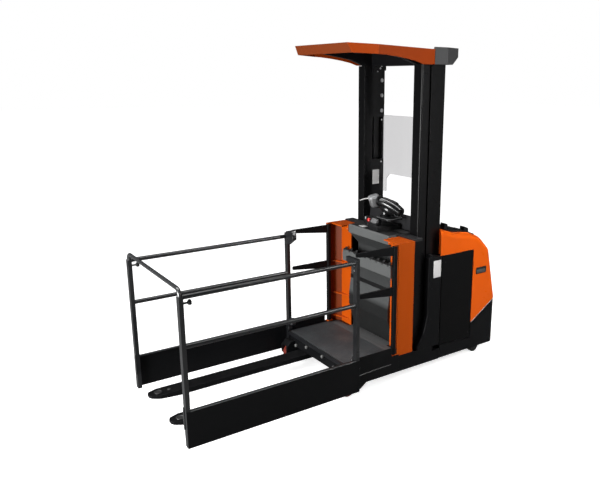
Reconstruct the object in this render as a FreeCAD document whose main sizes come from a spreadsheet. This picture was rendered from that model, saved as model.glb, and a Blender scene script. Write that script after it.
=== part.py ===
import FreeCAD, Part
import os
import Sketcher
from FreeCAD import Placement, Rotation, Vector

# Order picker: a truck body on a drive wheel, two castors and two load wheels, a two-stage mast,
# and a standing cab with forks and a guard cage. Millimetres, +X towards the fork tips, +Y to the
# left, +Z up. Pieces are drawn from the line of the cage's middle posts, and every sub-part's
# Placement moves them so that the origin is on the floor under the middle of the whole truck.

sizes = {
    # overall reach from the middle posts
    "forkReach": 1600, "tailReach": 1842,
    # truck body and support legs
    "bodyHalf": 560, "legWidth": 115, "legTop": 205, "legGap": 101, "legTipGap": 52, "legTip": 120,
    "legBend": 150, "legTaper": 70, "legNose": 50, "legPin": 5,
    "lipDepth": 12, "lipTop": 255, "lipFront": 30, "lipRear": 960,
    "trayTop": 150, "trayRear": 1500, "trayFront": 1170, "sheetSteel": 12,
    "deckTop": 350, "deckThick": 20, "deckRear": 1770, "footFront": 785, "footThick": 30,
    "panelFront": 1054, "panelRear": 1480, "panelTop": 1165, "panelThick": 12, "panelInset": 2,
    "panelRound": 4, "tongueReach": 30,
    "coverFront": 885, "coverRear": 1050, "coverTop": 1195, "coverFoot": 255, "coverFlare": 760,
    "coverGap": 11, "coverRound": 12,
    "batteryTop": 900, "batteryGap": 80,
    # orange motor hood and black skirt
    "hoodNose": 1030, "hoodNoseTop": 1432, "hoodDip": 1240, "hoodDipTop": 1369,
    "hoodShoulder": 1440, "hoodShoulderTop": 1341, "hoodCrown": 1585, "hoodCrownTop": 1286,
    "hoodTail": 1726, "hoodTailTop": 1140, "crownRound": 300, "tailRound": 14, "hoodWall": 8,
    "hoodRound": 60, "lidFront": 1185, "lidRear": 1556, "lidThick": 10, "lidInset": 80, "capRound": 6,
    "capSide": 430,
    "skirtWall": 10, "skirtLow": 105, "panelDrop": 24,
    "trimFront": 249, "trimMiddle": 394, "trimRear": 616, "trimGap": 6,
    # mast
    "mastHalf": 486, "mastFront": 905, "mastRear": 1072, "mastTop": 2945, "mastLow": 135,
    "channelWeb": 14, "channelFlange": 16, "channelDepth": 78, "stageGap": 6, "stageSide": 10,
    "innerLow": 190, "innerTop": 2950, "innerDepth": 67, "innerFlange": 12, "innerWeb": 12,
    "webInset": 22, "tieBehind": 88, "tieThick": 20, "tieInset": 38, "tieDeep": 190, "shelfThick": 30,
    "liftRodRadius": 22.5, "barrelWall": 7.5, "barrelFloor": 20,
    "liftLeft": 115, "liftPitch": 70, "liftBehind": 35.3, "barrelTop": 2450, "crossDeep": 120, "crossPlate": 7,
    "capTop": 3105, "capRear": 1285, "capLow": 2955, "capSlope": 70, "capTaper": 80,
    # cab
    "pillarFront": 792, "pillarRear": 895, "pillarWidth": 111, "pillarPlate": 14, "plateRear": 1044,
    "pillarLow": 150, "pillarTop": 2950, "pillarRound": 14, "plateHigh": 2450, "plateMiddle": 2020,
    "rollerLow": 300, "rollerHigh": 700,
    "floorTop": 274, "floorPlate": 12, "floorFrame": 48, "floorOver": 15, "floorFront": 30,
    "frameInset": 35, "apronThick": 12, "stepRear": 705, "riserLow": 160, "cabBack": 790,
    "matThick": 5, "matInset": 20, "matRound": 20,
    "bracketFront": 496, "bracketRear": 685, "bracketTop": 1371, "bracketThick": 12,
    "bracketInset": 2, "bracketFlange": 245, "flangeFront": 600, "bevelOut": 60, "bevelDeep": 40,
    "ledgeThick": 8, "ledgeTab": 45,
    "consoleGap": 2, "consoleWall": 12, "recessBack": 690, "bandFront": 567, "bandLow": 1300,
    "worktopTop": 1385, "worktopThick": 25, "worktopBack": 880, "backTop": 1530, "backThick": 18,
    "shelfFront": 545, "shelfLow": 985, "shelfUnder": 850, "bulgeFront": 572, "bulgeHigh": 650,
    "toeRoom": 648,
    "binFront": 540, "binTop": 1085, "binLow": 985, "binHalf": 400, "binWall": 5, "clipTop": 1112,
    "clipThick": 10,
    # overhead guard
    "roofFront": 25, "roofLean": 38, "roofRear": 920, "roofOver": 19, "roofNarrow": 85,
    "roofFlare": 285, "roofFrontTop": 3115, "roofRearTop": 3085, "roofEave": 2954, "roofLip": 3035,
    "roofWall": 8, "armWidth": 45, "barWide": 40, "barDeep": 20, "barStep": 190, "crossLow": 2880,
    "crossArch": 2952,
    # clear screen
    "screenThick": 5, "screenTop": 2470, "screenLow": 1680, "screenNotch": 1870, "screenLeg": 58,
    # guard cage
    "cageLength": 1575, "cageOut": 29, "cageOver": 10, "postWide": 50, "postDeep": 35, "railRadius": 19,
    "topRail": 1282, "midRail": 895, "barRadius": 16, "barHeight": 1342, "barBend": 50, "barLeg": 155,
    "toeTop": 376, "toeLow": 74, "skirtRear": 428, "toeThick": 6, "toeFlange": 35,
    # forks
    "forkCentre": 265, "forkWidth": 150, "forkTop": 150, "forkThick": 48, "forkHeel": 480,
    "heelDeep": 100, "tipTaper": 90, "tipPoint": 55, "rampLength": 260, "rampRise": 26,
    # gates
    "gateHinge": 466, "gateTube": 20, "gateCorner": 8, "gateTop": 1354, "gateLow": 300,
    "gatePin": 8, "gateArmLow": 965, "gateTip": 30, "armHigh": 34, "armRoot": 85, "armThick": 20,
    "knuckleThick": 10,
    # wheels
    "loadRadius": 75, "loadWidth": 66, "loadStation": 40, "axleRadius": 12.5,
    "driveRadius": 125, "driveWidth": 85, "driveStation": 1640, "driveAxle": 20, "driveRing": 112,
    "driveFlange": 15, "driveArm": 40, "motorHigh": 330, "motorRadius": 100,
    "castorRadius": 62.5, "castorWidth": 42, "castorStation": 1595, "castorInset": 105,
    "castorTrail": 40, "castorAxle": 8, "castorHead": 92, "castorCheek": 25, "castorPlate": 20,
    "castorSeat": 58,
    # running and fitting clearances
    "runGap": 5, "fitGap": 0.3,
}

doc = FreeCAD.newDocument("order_picker")
sheet = doc.addObject("Spreadsheet::Sheet", "Sizes")
for row, (alias, number) in enumerate(sizes.items(), start=1):
    sheet.set(f"A{row}", alias)
    sheet.set(f"B{row}", str(number))
    sheet.setAlias(f"B{row}", alias)
doc.recompute()


class Size:
    """A length that keeps both its value and the expression that binds it to the sheet."""

    def __init__(self, text, number):
        self.text, self.number = text, float(number)

    def join(self, sign, other, number):
        return Size(f"({self.text} {sign} {size(other).text})", number)

    def __add__(self, other):
        return self.join("+", other, self.number + size(other).number)

    def __radd__(self, other):
        return size(other) + self

    def __sub__(self, other):
        return self.join("-", other, self.number - size(other).number)

    def __rsub__(self, other):
        return size(other) - self

    def __mul__(self, other):
        return self.join("*", other, self.number * size(other).number)

    def __rmul__(self, other):
        return size(other) * self

    def __truediv__(self, other):
        return self.join("/", other, self.number / size(other).number)

    def __neg__(self):
        return Size(f"(0 - {self.text})", -self.number)


def size(thing):
    if isinstance(thing, Size):
        return thing
    if isinstance(thing, str):
        return Size(f"Sizes.{thing}", sizes[thing])
    return Size(repr(float(thing)), thing)


def S(*names):
    found = [size(name) for name in names]
    return found[0] if len(found) == 1 else found


shift = (S("tailReach") - S("forkReach")) / 2
nodes = []
counter = {"made": 0}


def fresh(stem):
    counter["made"] += 1
    return f"{stem}_{counter['made']}"


def bind(thing, target, length):
    thing.setExpression(target, size(length).text)


def place(thing, x=0, y=0, z=0):
    for axis, length in zip("xyz", (x, y, z)):
        bind(thing, f"Placement.Base.{axis}", length)


def box(x0, x1, y0, y1, z0, z1, stem="box"):
    made = doc.addObject("Part::Box", fresh(stem))
    x0, x1, y0, y1, z0, z1 = map(size, (x0, x1, y0, y1, z0, z1))
    bind(made, "Length", x1 - x0)
    bind(made, "Width", y1 - y0)
    bind(made, "Height", z1 - z0)
    place(made, x0, y0, z0)
    return made


turns = {
    "x": Rotation(Vector(0, 1, 0), 90),
    "y": Rotation(Vector(1, 0, 0), -90),
    "z": Rotation(),
}


def rod(axis, start, length, radius, stem="rod"):
    made = doc.addObject("Part::Cylinder", fresh(stem))
    made.Placement = Placement(Vector(), turns[axis])
    bind(made, "Radius", radius)
    bind(made, "Height", length)
    place(made, *start)
    return made


def fuse(*pieces, stem="joined"):
    made = doc.addObject("Part::MultiFuse", fresh(stem))
    made.Shapes = list(pieces)
    made.Refine = True
    return made


def cut(base, *tools, stem="cut"):
    made = doc.addObject("Part::Cut", fresh(stem))
    made.Base = base
    made.Tool = tools[0] if len(tools) == 1 else fuse(*tools)
    made.Refine = True
    return made


def common(first, second, stem="common"):
    made = doc.addObject("Part::MultiCommon", fresh(stem))
    made.Shapes = [first, second]
    made.Refine = True
    return made


def group(*pieces, stem="group"):
    made = doc.addObject("Part::Compound", fresh(stem))
    made.Links = list(pieces)
    return made


def mirrored(piece, stem="mirror"):
    made = doc.addObject("Part::Mirroring", fresh(stem))
    made.Source = piece
    made.Normal = Vector(0, 1, 0)
    return made


def both(piece):
    return piece, mirrored(piece)


def node(label, piece):
    """A finished sub-part, moved to the truck's own origin."""
    if piece.TypeId in ("Part::Box", "Part::Cylinder"):
        piece = group(piece)
    piece.Label = label
    bind(piece, "Placement.Base.x", shift)
    nodes.append(piece)
    return piece


def pair(stem, piece):
    """A left piece and its mirror image on the right."""
    left = node(f"{stem}_left", piece)
    right = mirrored(left)
    right.Label = f"{stem}_right"
    nodes.append(right)


def sketch(body, role, points, offset):
    """A closed outline of straight edges, each corner held by two bound distances."""
    plane = next(p for p in body.Origin.OriginFeatures if p.Role == role)
    drawn = body.newObject("Sketcher::SketchObject", fresh("outline"))
    drawn.AttachmentSupport = [(plane, "")]
    drawn.MapMode = "FlatFace"
    bind(drawn, "AttachmentOffset.Base.z", offset)
    points = [(size(a), size(b)) for a, b in points]
    count = len(points)
    for i in range(count):
        a, b = points[i], points[(i + 1) % count]
        start, end = Vector(a[0].number, a[1].number), Vector(b[0].number, b[1].number)
        drawn.addGeometry(Part.LineSegment(start, end), False)
    for i in range(count):
        drawn.addConstraint(Sketcher.Constraint("Coincident", i, 2, (i + 1) % count, 1))
    for i, point in enumerate(points):
        for kind, length in zip(("DistanceX", "DistanceY"), point):
            number = drawn.addConstraint(Sketcher.Constraint(kind, -1, 1, i, 1, length.number))
            bind(drawn, f"Constraints[{number}]", length)
    return drawn


def pad(role, points, start, end, stem="pad"):
    """A body padded from start to end along the normal of one of its origin planes."""
    body = doc.addObject("PartDesign::Body", fresh(stem))
    start, end = size(start), size(end)
    offset = -end if role == "XZ_Plane" else start
    drawn = sketch(body, role, points, offset)
    made = body.newObject("PartDesign::Pad", fresh("pad"))
    made.Profile = drawn
    bind(made, "Length", end - start)
    body.Tip = made
    doc.recompute()
    return body


def soften(body, radius, wanted, kind="PartDesign::Fillet"):
    """Rounds the edges of the body's last feature for which wanted(edge) holds."""
    base = body.Tip
    names = [f"Edge{i}" for i, edge in enumerate(base.Shape.Edges, start=1) if wanted(edge)]
    if not names:
        raise ValueError(f"no edge to round on {body.Name}")
    made = body.newObject(kind, fresh("round"))
    made.Base = (base, names)
    bind(made, "Radius" if kind.endswith("Fillet") else "Size", radius)
    body.Tip = made
    doc.recompute()
    return body


def near(a, b, slack=0.6):
    return abs(a - size(b).number) < slack


def along(edge, axis):
    a, b = edge.firstVertex().Point, edge.lastVertex().Point
    step = b - a
    return step.Length > 1e-6 and abs(abs(getattr(step, axis)) - step.Length) < 1e-6


def at(edge, **place_at):
    return all(
        near(getattr(v.Point, axis), length) for v in edge.Vertexes for axis, length in place_at.items()
    )


# --- lengths that follow from the sheet ---------------------------------------------------------

bodyHalf, legTop, legTip, runGap, fitGap = S("bodyHalf", "legTop", "legTip", "runGap", "fitGap")
legInner = bodyHalf - S("legWidth")
mastFront, mastRear, mastHalf, mastLow = S("mastFront", "mastRear", "mastHalf", "mastLow")
channelInner = mastHalf - S("channelDepth")
tieRear = mastRear + S("tieBehind")
tieFront = tieRear - S("tieThick")
tieHalf = mastHalf - S("tieInset")
innerHalf = mastHalf - S("channelWeb") - S("stageSide")
innerEdge = innerHalf - S("innerDepth")
innerFront = mastFront + S("channelFlange") + S("stageGap")
innerRear = mastRear - S("channelFlange") - S("stageGap")
liftStation = mastRear + S("liftBehind")
liftLines = (S("liftLeft") - S("liftPitch") / 2, S("liftLeft") + S("liftPitch") / 2)
boreRadius = S("liftRodRadius") + fitGap
coverInner = mastHalf + S("coverGap")
footUnder = mastLow - S("footThick")
pillarInner = mastHalf - S("pillarWidth")
floorHalf = bodyHalf + S("floorOver")
floorTop = S("floorTop")
floorUnder = floorTop - S("floorPlate")
frameHalf = bodyHalf - S("frameInset")
bracketHalf = floorHalf - S("bracketInset")
consoleHalf = bracketHalf - S("bracketFlange")
gateLine = bracketHalf - S("gateTube")
cageHalf = bracketHalf + S("cageOut")
postDeep, postWide = S("postDeep", "postWide")
postIn, postOut = cageHalf - postWide / 2, cageHalf + postWide / 2
roofHalf = mastHalf + S("roofOver")
castorLine = bodyHalf - S("castorInset")
castorTop = S("castorRadius") * 2 + S("castorHead")
seatHalf, ringRadius = S("castorSeat", "driveRing")

# --- truck body ---------------------------------------------------------------------------------


def chassis_frame():
    gap, tip_gap = S("legGap", "legTipGap")
    nose, tray_rear, tray_front, steel = S("legNose", "trayRear", "trayFront", "sheetSteel")
    leg = pad("XZ_Plane", [
        (-S("panelFront"), gap), (-S("legBend"), gap), (S("legTaper") - S("legBend"), tip_gap),
        (legTip - nose / 2, tip_gap), (legTip, tip_gap + nose / 2), (legTip, legTop - nose),
        (legTip - nose, legTop), (-S("panelFront"), legTop),
    ], legInner, bodyHalf, "leg")
    centre = (legInner + bodyHalf) / 2
    half = S("loadWidth") / 2 + runGap
    reach = S("loadRadius") + runGap * 2
    pocket = box(S("loadStation") - reach, legTip + runGap, centre - half, centre + half,
                 0, S("loadRadius") + reach)
    axle = rod("y", (S("loadStation"), legInner + S("legPin"), S("loadRadius")),
               bodyHalf - legInner - S("legPin") * 2, S("axleRadius"))
    lip = box(-S("lipRear"), -S("lipFront"), bodyHalf - S("lipDepth"), bodyHalf, legTop, S("lipTop"))
    mast_room = box(-tray_front, -S("bracketRear") - runGap * 2, channelInner - runGap,
                    mastHalf + runGap, mastLow, legTop + 1)
    left = fuse(cut(leg, pocket, mast_room), axle, lip)
    side = bodyHalf - steel
    foot = box(-S("panelFront"), -S("footFront"), -bodyHalf, bodyHalf, footUnder, mastLow)
    bridge = box(-tray_front, -S("panelFront"), -side, side, footUnder, mastLow)
    tray = box(-tray_rear, -tray_front, -side, side, footUnder, S("trayTop"))
    sill = S("deckTop") + runGap * 20
    bulkhead = box(-tray_rear, -tray_rear + steel, -side, side, S("trayTop"), sill)
    hooded = bodyHalf - S("hoodWall")
    stop = box(-tray_rear, -S("panelRear") - runGap, -hooded, hooded, sill, S("panelTop"))
    deck_half = bodyHalf - S("skirtWall")
    deck = box(-S("deckRear"), -tray_rear, -deck_half, deck_half, S("deckTop") - S("deckThick"),
               S("deckTop"))
    bearing = rod("z", (-S("driveStation"), 0, S("deckTop") - S("deckThick") - runGap),
                  S("deckThick") + runGap * 2, ringRadius + runGap * 2)
    seat = box(
        -S("castorStation") - seatHalf, -S("castorStation") + seatHalf, castorLine - seatHalf,
        castorLine + seatHalf, castorTop, S("deckTop") - S("deckThick"),
    )
    return fuse(*both(left), foot, bridge, tray, bulkhead, stop, cut(deck, bearing), *both(seat))


def mast_cover():
    """Moulded cover beside the mast's foot, cut back below for the cab's floor."""
    front, rear, flare = -S("coverFront"), -S("coverRear"), -S("coverFlare")
    top, foot = S("coverTop"), S("coverFoot")
    edge = S("coverRound") * 2.5
    form = pad("XZ_Plane", [
        (rear, foot), (rear, top - edge), (front - edge, top), (front, top - edge),
        (front, foot + edge * 11), (front + edge * 1.5, foot + edge * 5), (flare, foot + edge),
        (flare, foot),
    ], coverInner, bodyHalf, "cover")
    return soften(form, S("coverRound"), lambda e: at(e, y=bodyHalf) and not at(e, z=foot))


def battery_panel():
    outer = bodyHalf - S("panelInset")
    inner = outer - S("panelThick")
    front, rear, tongue = -S("panelFront"), -S("panelRear"), S("tongueReach")
    low, top = S("trimFront"), S("panelTop")
    form = pad("XZ_Plane", [
        (front, low), (front, top), (rear, top), (rear, low - S("panelDrop")),
    ], inner, outer, "panel")
    soften(form, S("panelRound"), lambda e: at(e, y=outer))
    seat = box(front - tongue, -S("coverRear"), inner - S("panelThick"), inner, low + tongue * 2,
               top - tongue)
    return fuse(form, seat)


def hood_outline(inset):
    """The hood's side view, as points from its nose over the crown down to the trim."""
    return [
        (-S("hoodNose") - inset, S("hoodNoseTop") - inset), (-S("hoodDip"), S("hoodDipTop") - inset),
        (-S("hoodShoulder"), S("hoodShoulderTop") - inset), (-S("hoodCrown"), S("hoodCrownTop") - inset),
        (-S("hoodTail") + inset, S("hoodTailTop") - inset), (-S("tailReach") + inset, S("trimRear")),
    ]


def crest(edge, place_of):
    x, z = place_of
    return along(edge, "y") and at(edge, x=x, z=z)


def motor_hood():
    """A moulded shell with a rounded crown, and a walled recess in its front for the mast."""
    wall, half, seam = S("hoodWall"), bodyHalf, -S("panelRear") - S("trimGap")
    low = S("panelTop") + S("trimGap")
    outline = hood_outline(size(0))
    form = pad("XZ_Plane", outline + [(seam, S("trimMiddle")), (seam, low), (-S("hoodNose"), low)],
               -half, half, "hood")
    soften(form, S("crownRound"), lambda e: crest(e, outline[2]) or crest(e, outline[3]))
    soften(form, S("tailRound"), lambda e: crest(e, outline[4]), "PartDesign::Chamfer")

    def rim(edge):
        bounds = edge.BoundBox
        side = near(abs(bounds.YMin), half) and bounds.YLength < 1
        upper = bounds.ZMin > low.number + 1 and bounds.XLength > 5
        tail = bounds.XMax < -S("hoodCrown").number and bounds.ZMin > S("trimRear").number - 1
        return side and (upper or tail)

    soften(form, S("hoodRound"), rim)
    inner = hood_outline(wall)
    space = pad("XZ_Plane", inner + [(-S("tailReach") + wall, S("deckTop")), (inner[0][0], S("deckTop"))],
                wall - half, half - wall, "hollow")
    soften(space, S("hoodRound") * 0.7, lambda e: (
        near(abs(e.BoundBox.YMin), half - wall) and e.BoundBox.YLength < 1
        and e.BoundBox.ZMin > S("deckTop").number + 1 and e.BoundBox.XMin < inner[0][0].number - 1
    ), "PartDesign::Chamfer")
    room = mastHalf + runGap
    back, front = -tieRear - runGap * 2, -S("hoodNose") + 1
    top, sill = S("hoodNoseTop") + wall, S("deckTop") - wall
    lining = box(back - wall, front, -room - wall, room + wall, sill, top)
    mast = box(back, front, -room, room, sill, top)
    cheek = pad("XY_Plane", [
        (-mastRear, room - wall), (-S("hoodNose"), half + 1), (front + wall, half + 1),
        (front + wall, room - wall),
    ], low - 1, top, "cheek")
    return cut(form, cut(space, lining), mast, *both(cheek))


def hood_caps():
    """Black lid over the hood's top, with filler caps and switches along its left edge."""
    front, rear, thick, half = -S("lidFront"), -S("lidRear"), S("lidThick"), bodyHalf - S("lidInset")
    points = hood_outline(size(0))

    def surface(x):
        """The height of the hood's top at a station behind its nose."""
        for (x0, z0), (x1, z1) in zip(points, points[1:]):
            if x1.number <= size(x).number <= x0.number:
                return z0 + (z1 - z0) * ((size(x) - x0) / (x1 - x0))

    lid = pad("XZ_Plane", [
        (front, surface(front)), (front, surface(front) + thick), (points[1][0], points[1][1] + thick),
        (points[2][0], points[2][1] + thick), (rear, surface(rear) + thick), (rear, surface(rear)),
        points[2], points[1],
    ], -half, half, "lid")
    soften(lid, thick * 0.6, lambda e: at(e, x=rear, z=surface(rear) + thick), "PartDesign::Chamfer")
    caps = []
    for behind, length, width, rise in capPlaces:
        x0, x1 = front - behind, front - behind - length
        z0, z1 = surface(x0), surface(x1)
        cap = pad("XZ_Plane", [(x0, z0), (x0 - 4, z0 + rise), (x1 + 4, z1 + rise), (x1, z1)],
                  S("capSide") - width, S("capSide"), "cap")
        caps.append(soften(cap, S("capRound"), lambda e: at(e, z=z0 + rise) or at(e, z=z1 + rise),
                           "PartDesign::Chamfer"))
    return fuse(lid, *caps)


capPlaces = ((2, 46, 60, 68), (56, 74, 110, 38), (168, 72, 90, 22), (272, 68, 60, 52))


def rear_skirt():
    """Black lower body that wraps the tail, stepped down in front under the battery panels."""
    gap, low, rear = S("trimGap"), S("skirtLow"), -S("tailReach")
    front, seam = -S("coverRear") - S("coverGap"), -S("panelRear") - S("trimGap")
    form = pad("XZ_Plane", [
        (front, low), (front, S("trimFront") - gap), (seam, S("trimFront") - S("panelDrop") - gap),
        (seam, S("trimMiddle") - gap), (rear, S("trimRear") - gap), (rear, low),
    ], -bodyHalf, bodyHalf, "skirt")
    soften(form, S("hoodRound"), lambda e: along(e, "z") and near(e.BoundBox.XMin, rear))
    wall = S("skirtWall")
    room = pad("XY_Plane", [
        (front + wall, wall - bodyHalf), (front + wall, bodyHalf - wall), (rear + wall, bodyHalf - wall),
        (rear + wall, wall - bodyHalf),
    ], 0, S("trimRear") + wall, "room")
    soften(room, S("hoodRound") - wall, lambda e: along(e, "z") and near(e.BoundBox.XMin, rear + wall))
    return cut(form, room)


# --- mast ---------------------------------------------------------------------------------------


def outer_mast():
    flange, web = S("channelFlange"), S("channelWeb")
    channel = pad("XY_Plane", [
        (-mastFront, channelInner), (-mastFront, mastHalf), (-mastRear, mastHalf),
        (-mastRear, channelInner), (-mastRear + flange, channelInner),
        (-mastRear + flange, mastHalf - web), (-mastFront - flange, mastHalf - web),
        (-mastFront - flange, channelInner),
    ], mastLow, S("mastTop"), "channel")
    head = (S("capLow"), S("capTop") - S("channelFlange"))
    foot = (mastLow, mastLow + S("tieDeep"))
    ears = [
        pad("XY_Plane", [
            (-mastRear, tieHalf), (-mastRear, mastHalf), (-mastRear - flange, mastHalf - flange / 2),
            (-tieRear, tieHalf),
        ], low, high, "ear") for low, high in (head, foot)
    ]
    post = box(-mastRear, -S("roofRear") - runGap * 2, mastHalf - web, mastHalf, S("mastTop"), head[1])
    ties = [
        box(-tieRear, -tieFront, -tieHalf, tieHalf, S("mastTop") + flange, head[1]),
        box(-tieRear, -tieFront, -tieHalf, tieHalf, *foot),
        box(-tieRear, -mastRear - runGap, -tieHalf, tieHalf, mastLow, mastLow + S("shelfThick")),
    ]
    made = []
    for piece in (channel, post, *ears):
        made += both(piece)
    return fuse(*made, *ties)


def mast_top_cover():
    """Two-facet grey cap around the mast's head, with a sloped underside at the back."""
    outer, inner, taper = roofHalf, mastHalf, S("tieInset") - 2
    front, side, rear = -S("roofRear") - runGap, -mastRear - S("cageOver"), -S("capRear")
    form = pad("XY_Plane", [
        (front, outer), (side, outer), (rear, outer - S("capTaper")), (rear, S("capTaper") - outer),
        (side, -outer), (front, -outer), (front, -inner), (side, -inner), (-tieRear, taper - inner),
        (-tieRear, inner - taper), (side, inner), (front, inner),
    ], S("capLow"), S("capTop"), "cap")
    slope = pad("XZ_Plane", [
        (rear - 1, S("capLow") - 1), (rear - 1, S("capLow") + S("capSlope")),
        (-tieRear - S("channelFlange"), S("capLow") - 1),
    ], -outer, outer, "wedge")
    return cut(form, slope)


def lift_cylinders():
    """Two barrels side by side, left of the middle so that the driver looks past them."""
    low = mastLow + S("shelfThick")
    pair = []
    for y in liftLines:
        barrel = rod("z", (-liftStation, y, low), S("barrelTop") - low, boreRadius + S("barrelWall"))
        bore = rod("z", (-liftStation, y, low + S("barrelFloor")), S("barrelTop"), boreRadius)
        pair.append(cut(barrel, bore))
    return group(*pair)


def inner_mast():
    """Two H-shaped columns that run in the outer channels, joined by plates behind the cab."""
    front, rear, flange, low, high = -innerFront, -innerRear, S("innerFlange"), S("innerLow"), S("innerTop")
    web_out = innerHalf - S("webInset")
    web_in = web_out - S("innerWeb")
    column = pad("XY_Plane", [
        (front, innerEdge), (front, innerHalf), (front - flange, innerHalf), (front - flange, web_out),
        (rear + flange, web_out), (rear + flange, innerHalf), (rear, innerHalf), (rear, innerEdge),
        (rear + flange, innerEdge), (rear + flange, web_in), (front - flange, web_in),
        (front - flange, innerEdge),
    ], low, high, "column")
    plate, deep = S("crossPlate", "crossDeep")
    half, face = innerEdge + plate, -S("plateRear") - S("screenThick") - runGap
    over = high + runGap
    head_gusset = box(-mastRear - plate, rear + flange, innerEdge, half, high - deep / 3, over + deep)
    head = box(-tieFront + plate, face, -half, half, over, over + deep)
    foot_low = low + S("barrelFloor")
    foot_gusset = box(-mastRear, rear + flange, innerEdge, half, foot_low, foot_low + deep)
    foot = box(-mastRear, face, -half, half, foot_low, foot_low + deep)
    return fuse(*both(column), *both(head_gusset), head, foot, *both(foot_gusset))


def lift_rods():
    low = mastLow + S("shelfThick") + S("barrelFloor") + runGap
    high = S("innerTop") + runGap
    return group(*[rod("z", (-liftStation, y, low), high - low, S("liftRodRadius")) for y in liftLines])


# --- cab ----------------------------------------------------------------------------------------


def cab_pillar():
    front, rear, plate = S("pillarFront", "pillarRear", "pillarPlate")
    column = pad("XY_Plane", [
        (-front, pillarInner), (-front, mastHalf), (-rear, mastHalf), (-rear, pillarInner),
    ], S("pillarLow"), S("pillarTop"), "pillar")
    soften(column, S("pillarRound"), lambda e: along(e, "z") and near(e.BoundBox.YMin, mastHalf))
    plates = [
        box(-S("plateRear"), -rear, pillarInner, pillarInner + plate, low, high)
        for low, high in ((S("plateHigh"), S("pillarTop")), (S("pillarLow") + plate, S("plateMiddle")))
    ]
    web = box(-front - plate, -S("bracketRear"), mastHalf - plate, mastHalf, floorTop,
              S("bracketTop") - plate)
    middle = -(mastFront + mastRear) / 2
    radius = (innerRear - innerFront) / 2 - S("innerFlange") - fitGap
    width = innerHalf - S("webInset") - S("innerWeb") - runGap - pillarInner - plate
    rollers = [
        rod("y", (middle, pillarInner + plate, height), width, radius)
        for height in S("rollerLow", "rollerHigh")
    ]
    return fuse(column, *plates, web, *rollers)


def platform():
    front, step, back = S("floorFront"), -S("stepRear"), -S("cabBack")
    deck = pad("XY_Plane", [
        (front, -floorHalf), (front, floorHalf), (step, floorHalf), (step, pillarInner), (back, pillarInner),
        (back, -pillarInner), (step, -pillarInner), (step, -floorHalf),
    ], floorUnder, floorTop, "deck")
    heel = S("forkHeel") + S("frameInset")
    frame = box(-heel, front, -frameHalf, frameHalf, floorUnder - S("floorFrame"), floorUnder)
    inside = legInner - S("frameInset") / 2
    apron = box(front - S("apronThick"), front, -inside, inside, S("forkTop") + runGap, floorUnder)
    ear = box(-S("postDeep"), front, floorHalf, postIn, floorUnder, floorTop)
    hem, out = S("legTipGap") + S("toeLow"), floorHalf + S("toeThick")
    skirt = fuse(
        box(-heel, -postDeep / 2, floorHalf, out, hem, S("gateLow") - runGap * 2),
        box(-S("skirtRear"), -postDeep / 2, floorHalf, out, hem, S("toeTop")),
    )
    riser = box(back, step, -pillarInner, pillarInner, S("riserLow"), floorUnder)
    return fuse(deck, frame, apron, *both(ear), *both(skirt), riser)


def floor_mat():
    inset = S("matInset")
    mat = pad("XY_Plane", [
        (S("floorFront") - inset, inset - floorHalf), (S("floorFront") - inset, floorHalf - inset),
        (inset - S("bracketFront"), floorHalf - inset), (inset - S("bracketFront"), inset - floorHalf),
    ], floorTop, floorTop + S("matThick"), "mat")
    return soften(mat, S("matRound"), lambda e: along(e, "z"))


def fork():
    """A blade with a tapered, pointed tip and its heel under the platform's frame."""
    centre, half, reach = S("forkCentre"), S("forkWidth") / 2, S("forkReach")
    top, low = S("forkTop"), S("forkTop") - S("forkThick")
    taper, point, heel = S("tipTaper", "tipPoint", "forkHeel")
    blade = pad("XY_Plane", [
        (-heel, centre - half), (reach - taper, centre - half),
        (reach - taper / 6, centre - half + point / 2),
        (reach, centre - half + point), (reach, centre + half - point),
        (reach - taper / 6, centre + half - point / 2), (reach - taper, centre + half), (-heel, centre + half),
    ], low, top, "fork")
    rise = S("rampRise")
    ramp = pad("XZ_Plane", [
        (reach - S("rampLength"), low - 1), (reach + 1, low - 1), (reach + 1, low + rise),
        (reach - taper * 0.7, low + rise * 0.6),
    ], centre - half - 1, centre + half + 1, "ramp")
    root = box(-heel, -heel + S("heelDeep"), centre - half, centre + half, top, floorUnder - S("floorFrame"))
    return fuse(cut(blade, ramp), root)


def side_bracket():
    """Pressed bracket beside the console: outer web, bevelled inner flange, lid with a front tab."""
    thick, half, low, top = S("bracketThick"), bracketHalf, floorTop, S("bracketTop")
    front, rear = -S("bracketFront"), -S("bracketRear")
    face, out, deep = -S("flangeFront"), S("bevelOut"), S("bevelDeep")
    web = box(rear, front, half - thick, half, low, top)
    flange = pad("XY_Plane", [
        (face, consoleHalf), (face, half - thick - out), (face + deep, half - thick),
        (face + deep - thick, half - thick),
        (face - thick, half - thick - out), (face - thick, consoleHalf),
    ], low, top, "flange")
    lid = box(rear, front, consoleHalf + S("consoleGap") * 10, half, top - thick, top)
    tab_low = S("bandLow")
    tab = box(-S("bandFront"), -S("bandFront") + thick / 2, consoleHalf, consoleHalf + S("legWidth") * 0.6,
              tab_low + thick, top)
    ledges = []
    for height in ledgeHeights:
        ledges.append(pad("XY_Plane", [
            (face, consoleHalf + out / 3), (face, half - thick), (front - thick, half - thick),
            (front - S("ledgeTab"), half - thick - out / 2),
        ], height, height + S("ledgeThick"), "ledge"))
    pins, knuckles = [], []
    hinge = -S("gateHinge")
    for joint, plate in (
        (S("gateLow") - fitGap, S("gateLow") - runGap - S("knuckleThick")),
        (S("gateTop") - pinLength, S("gateTop") + runGap),
    ):
        knuckles.append(box(front - S("knuckleThick"), hinge + S("gateTube"), gateLine - S("gateTube"),
                            half, plate, plate + S("knuckleThick")))
    pins.append(rod("z", (hinge, gateLine, S("gateLow") - runGap), pinLength + runGap, S("gatePin")))
    pins.append(rod("z", (hinge, gateLine, S("gateTop") - pinLength), pinLength + runGap, S("gatePin")))
    return fuse(web, flange, lid, tab, *ledges, *knuckles, *pins)


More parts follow.
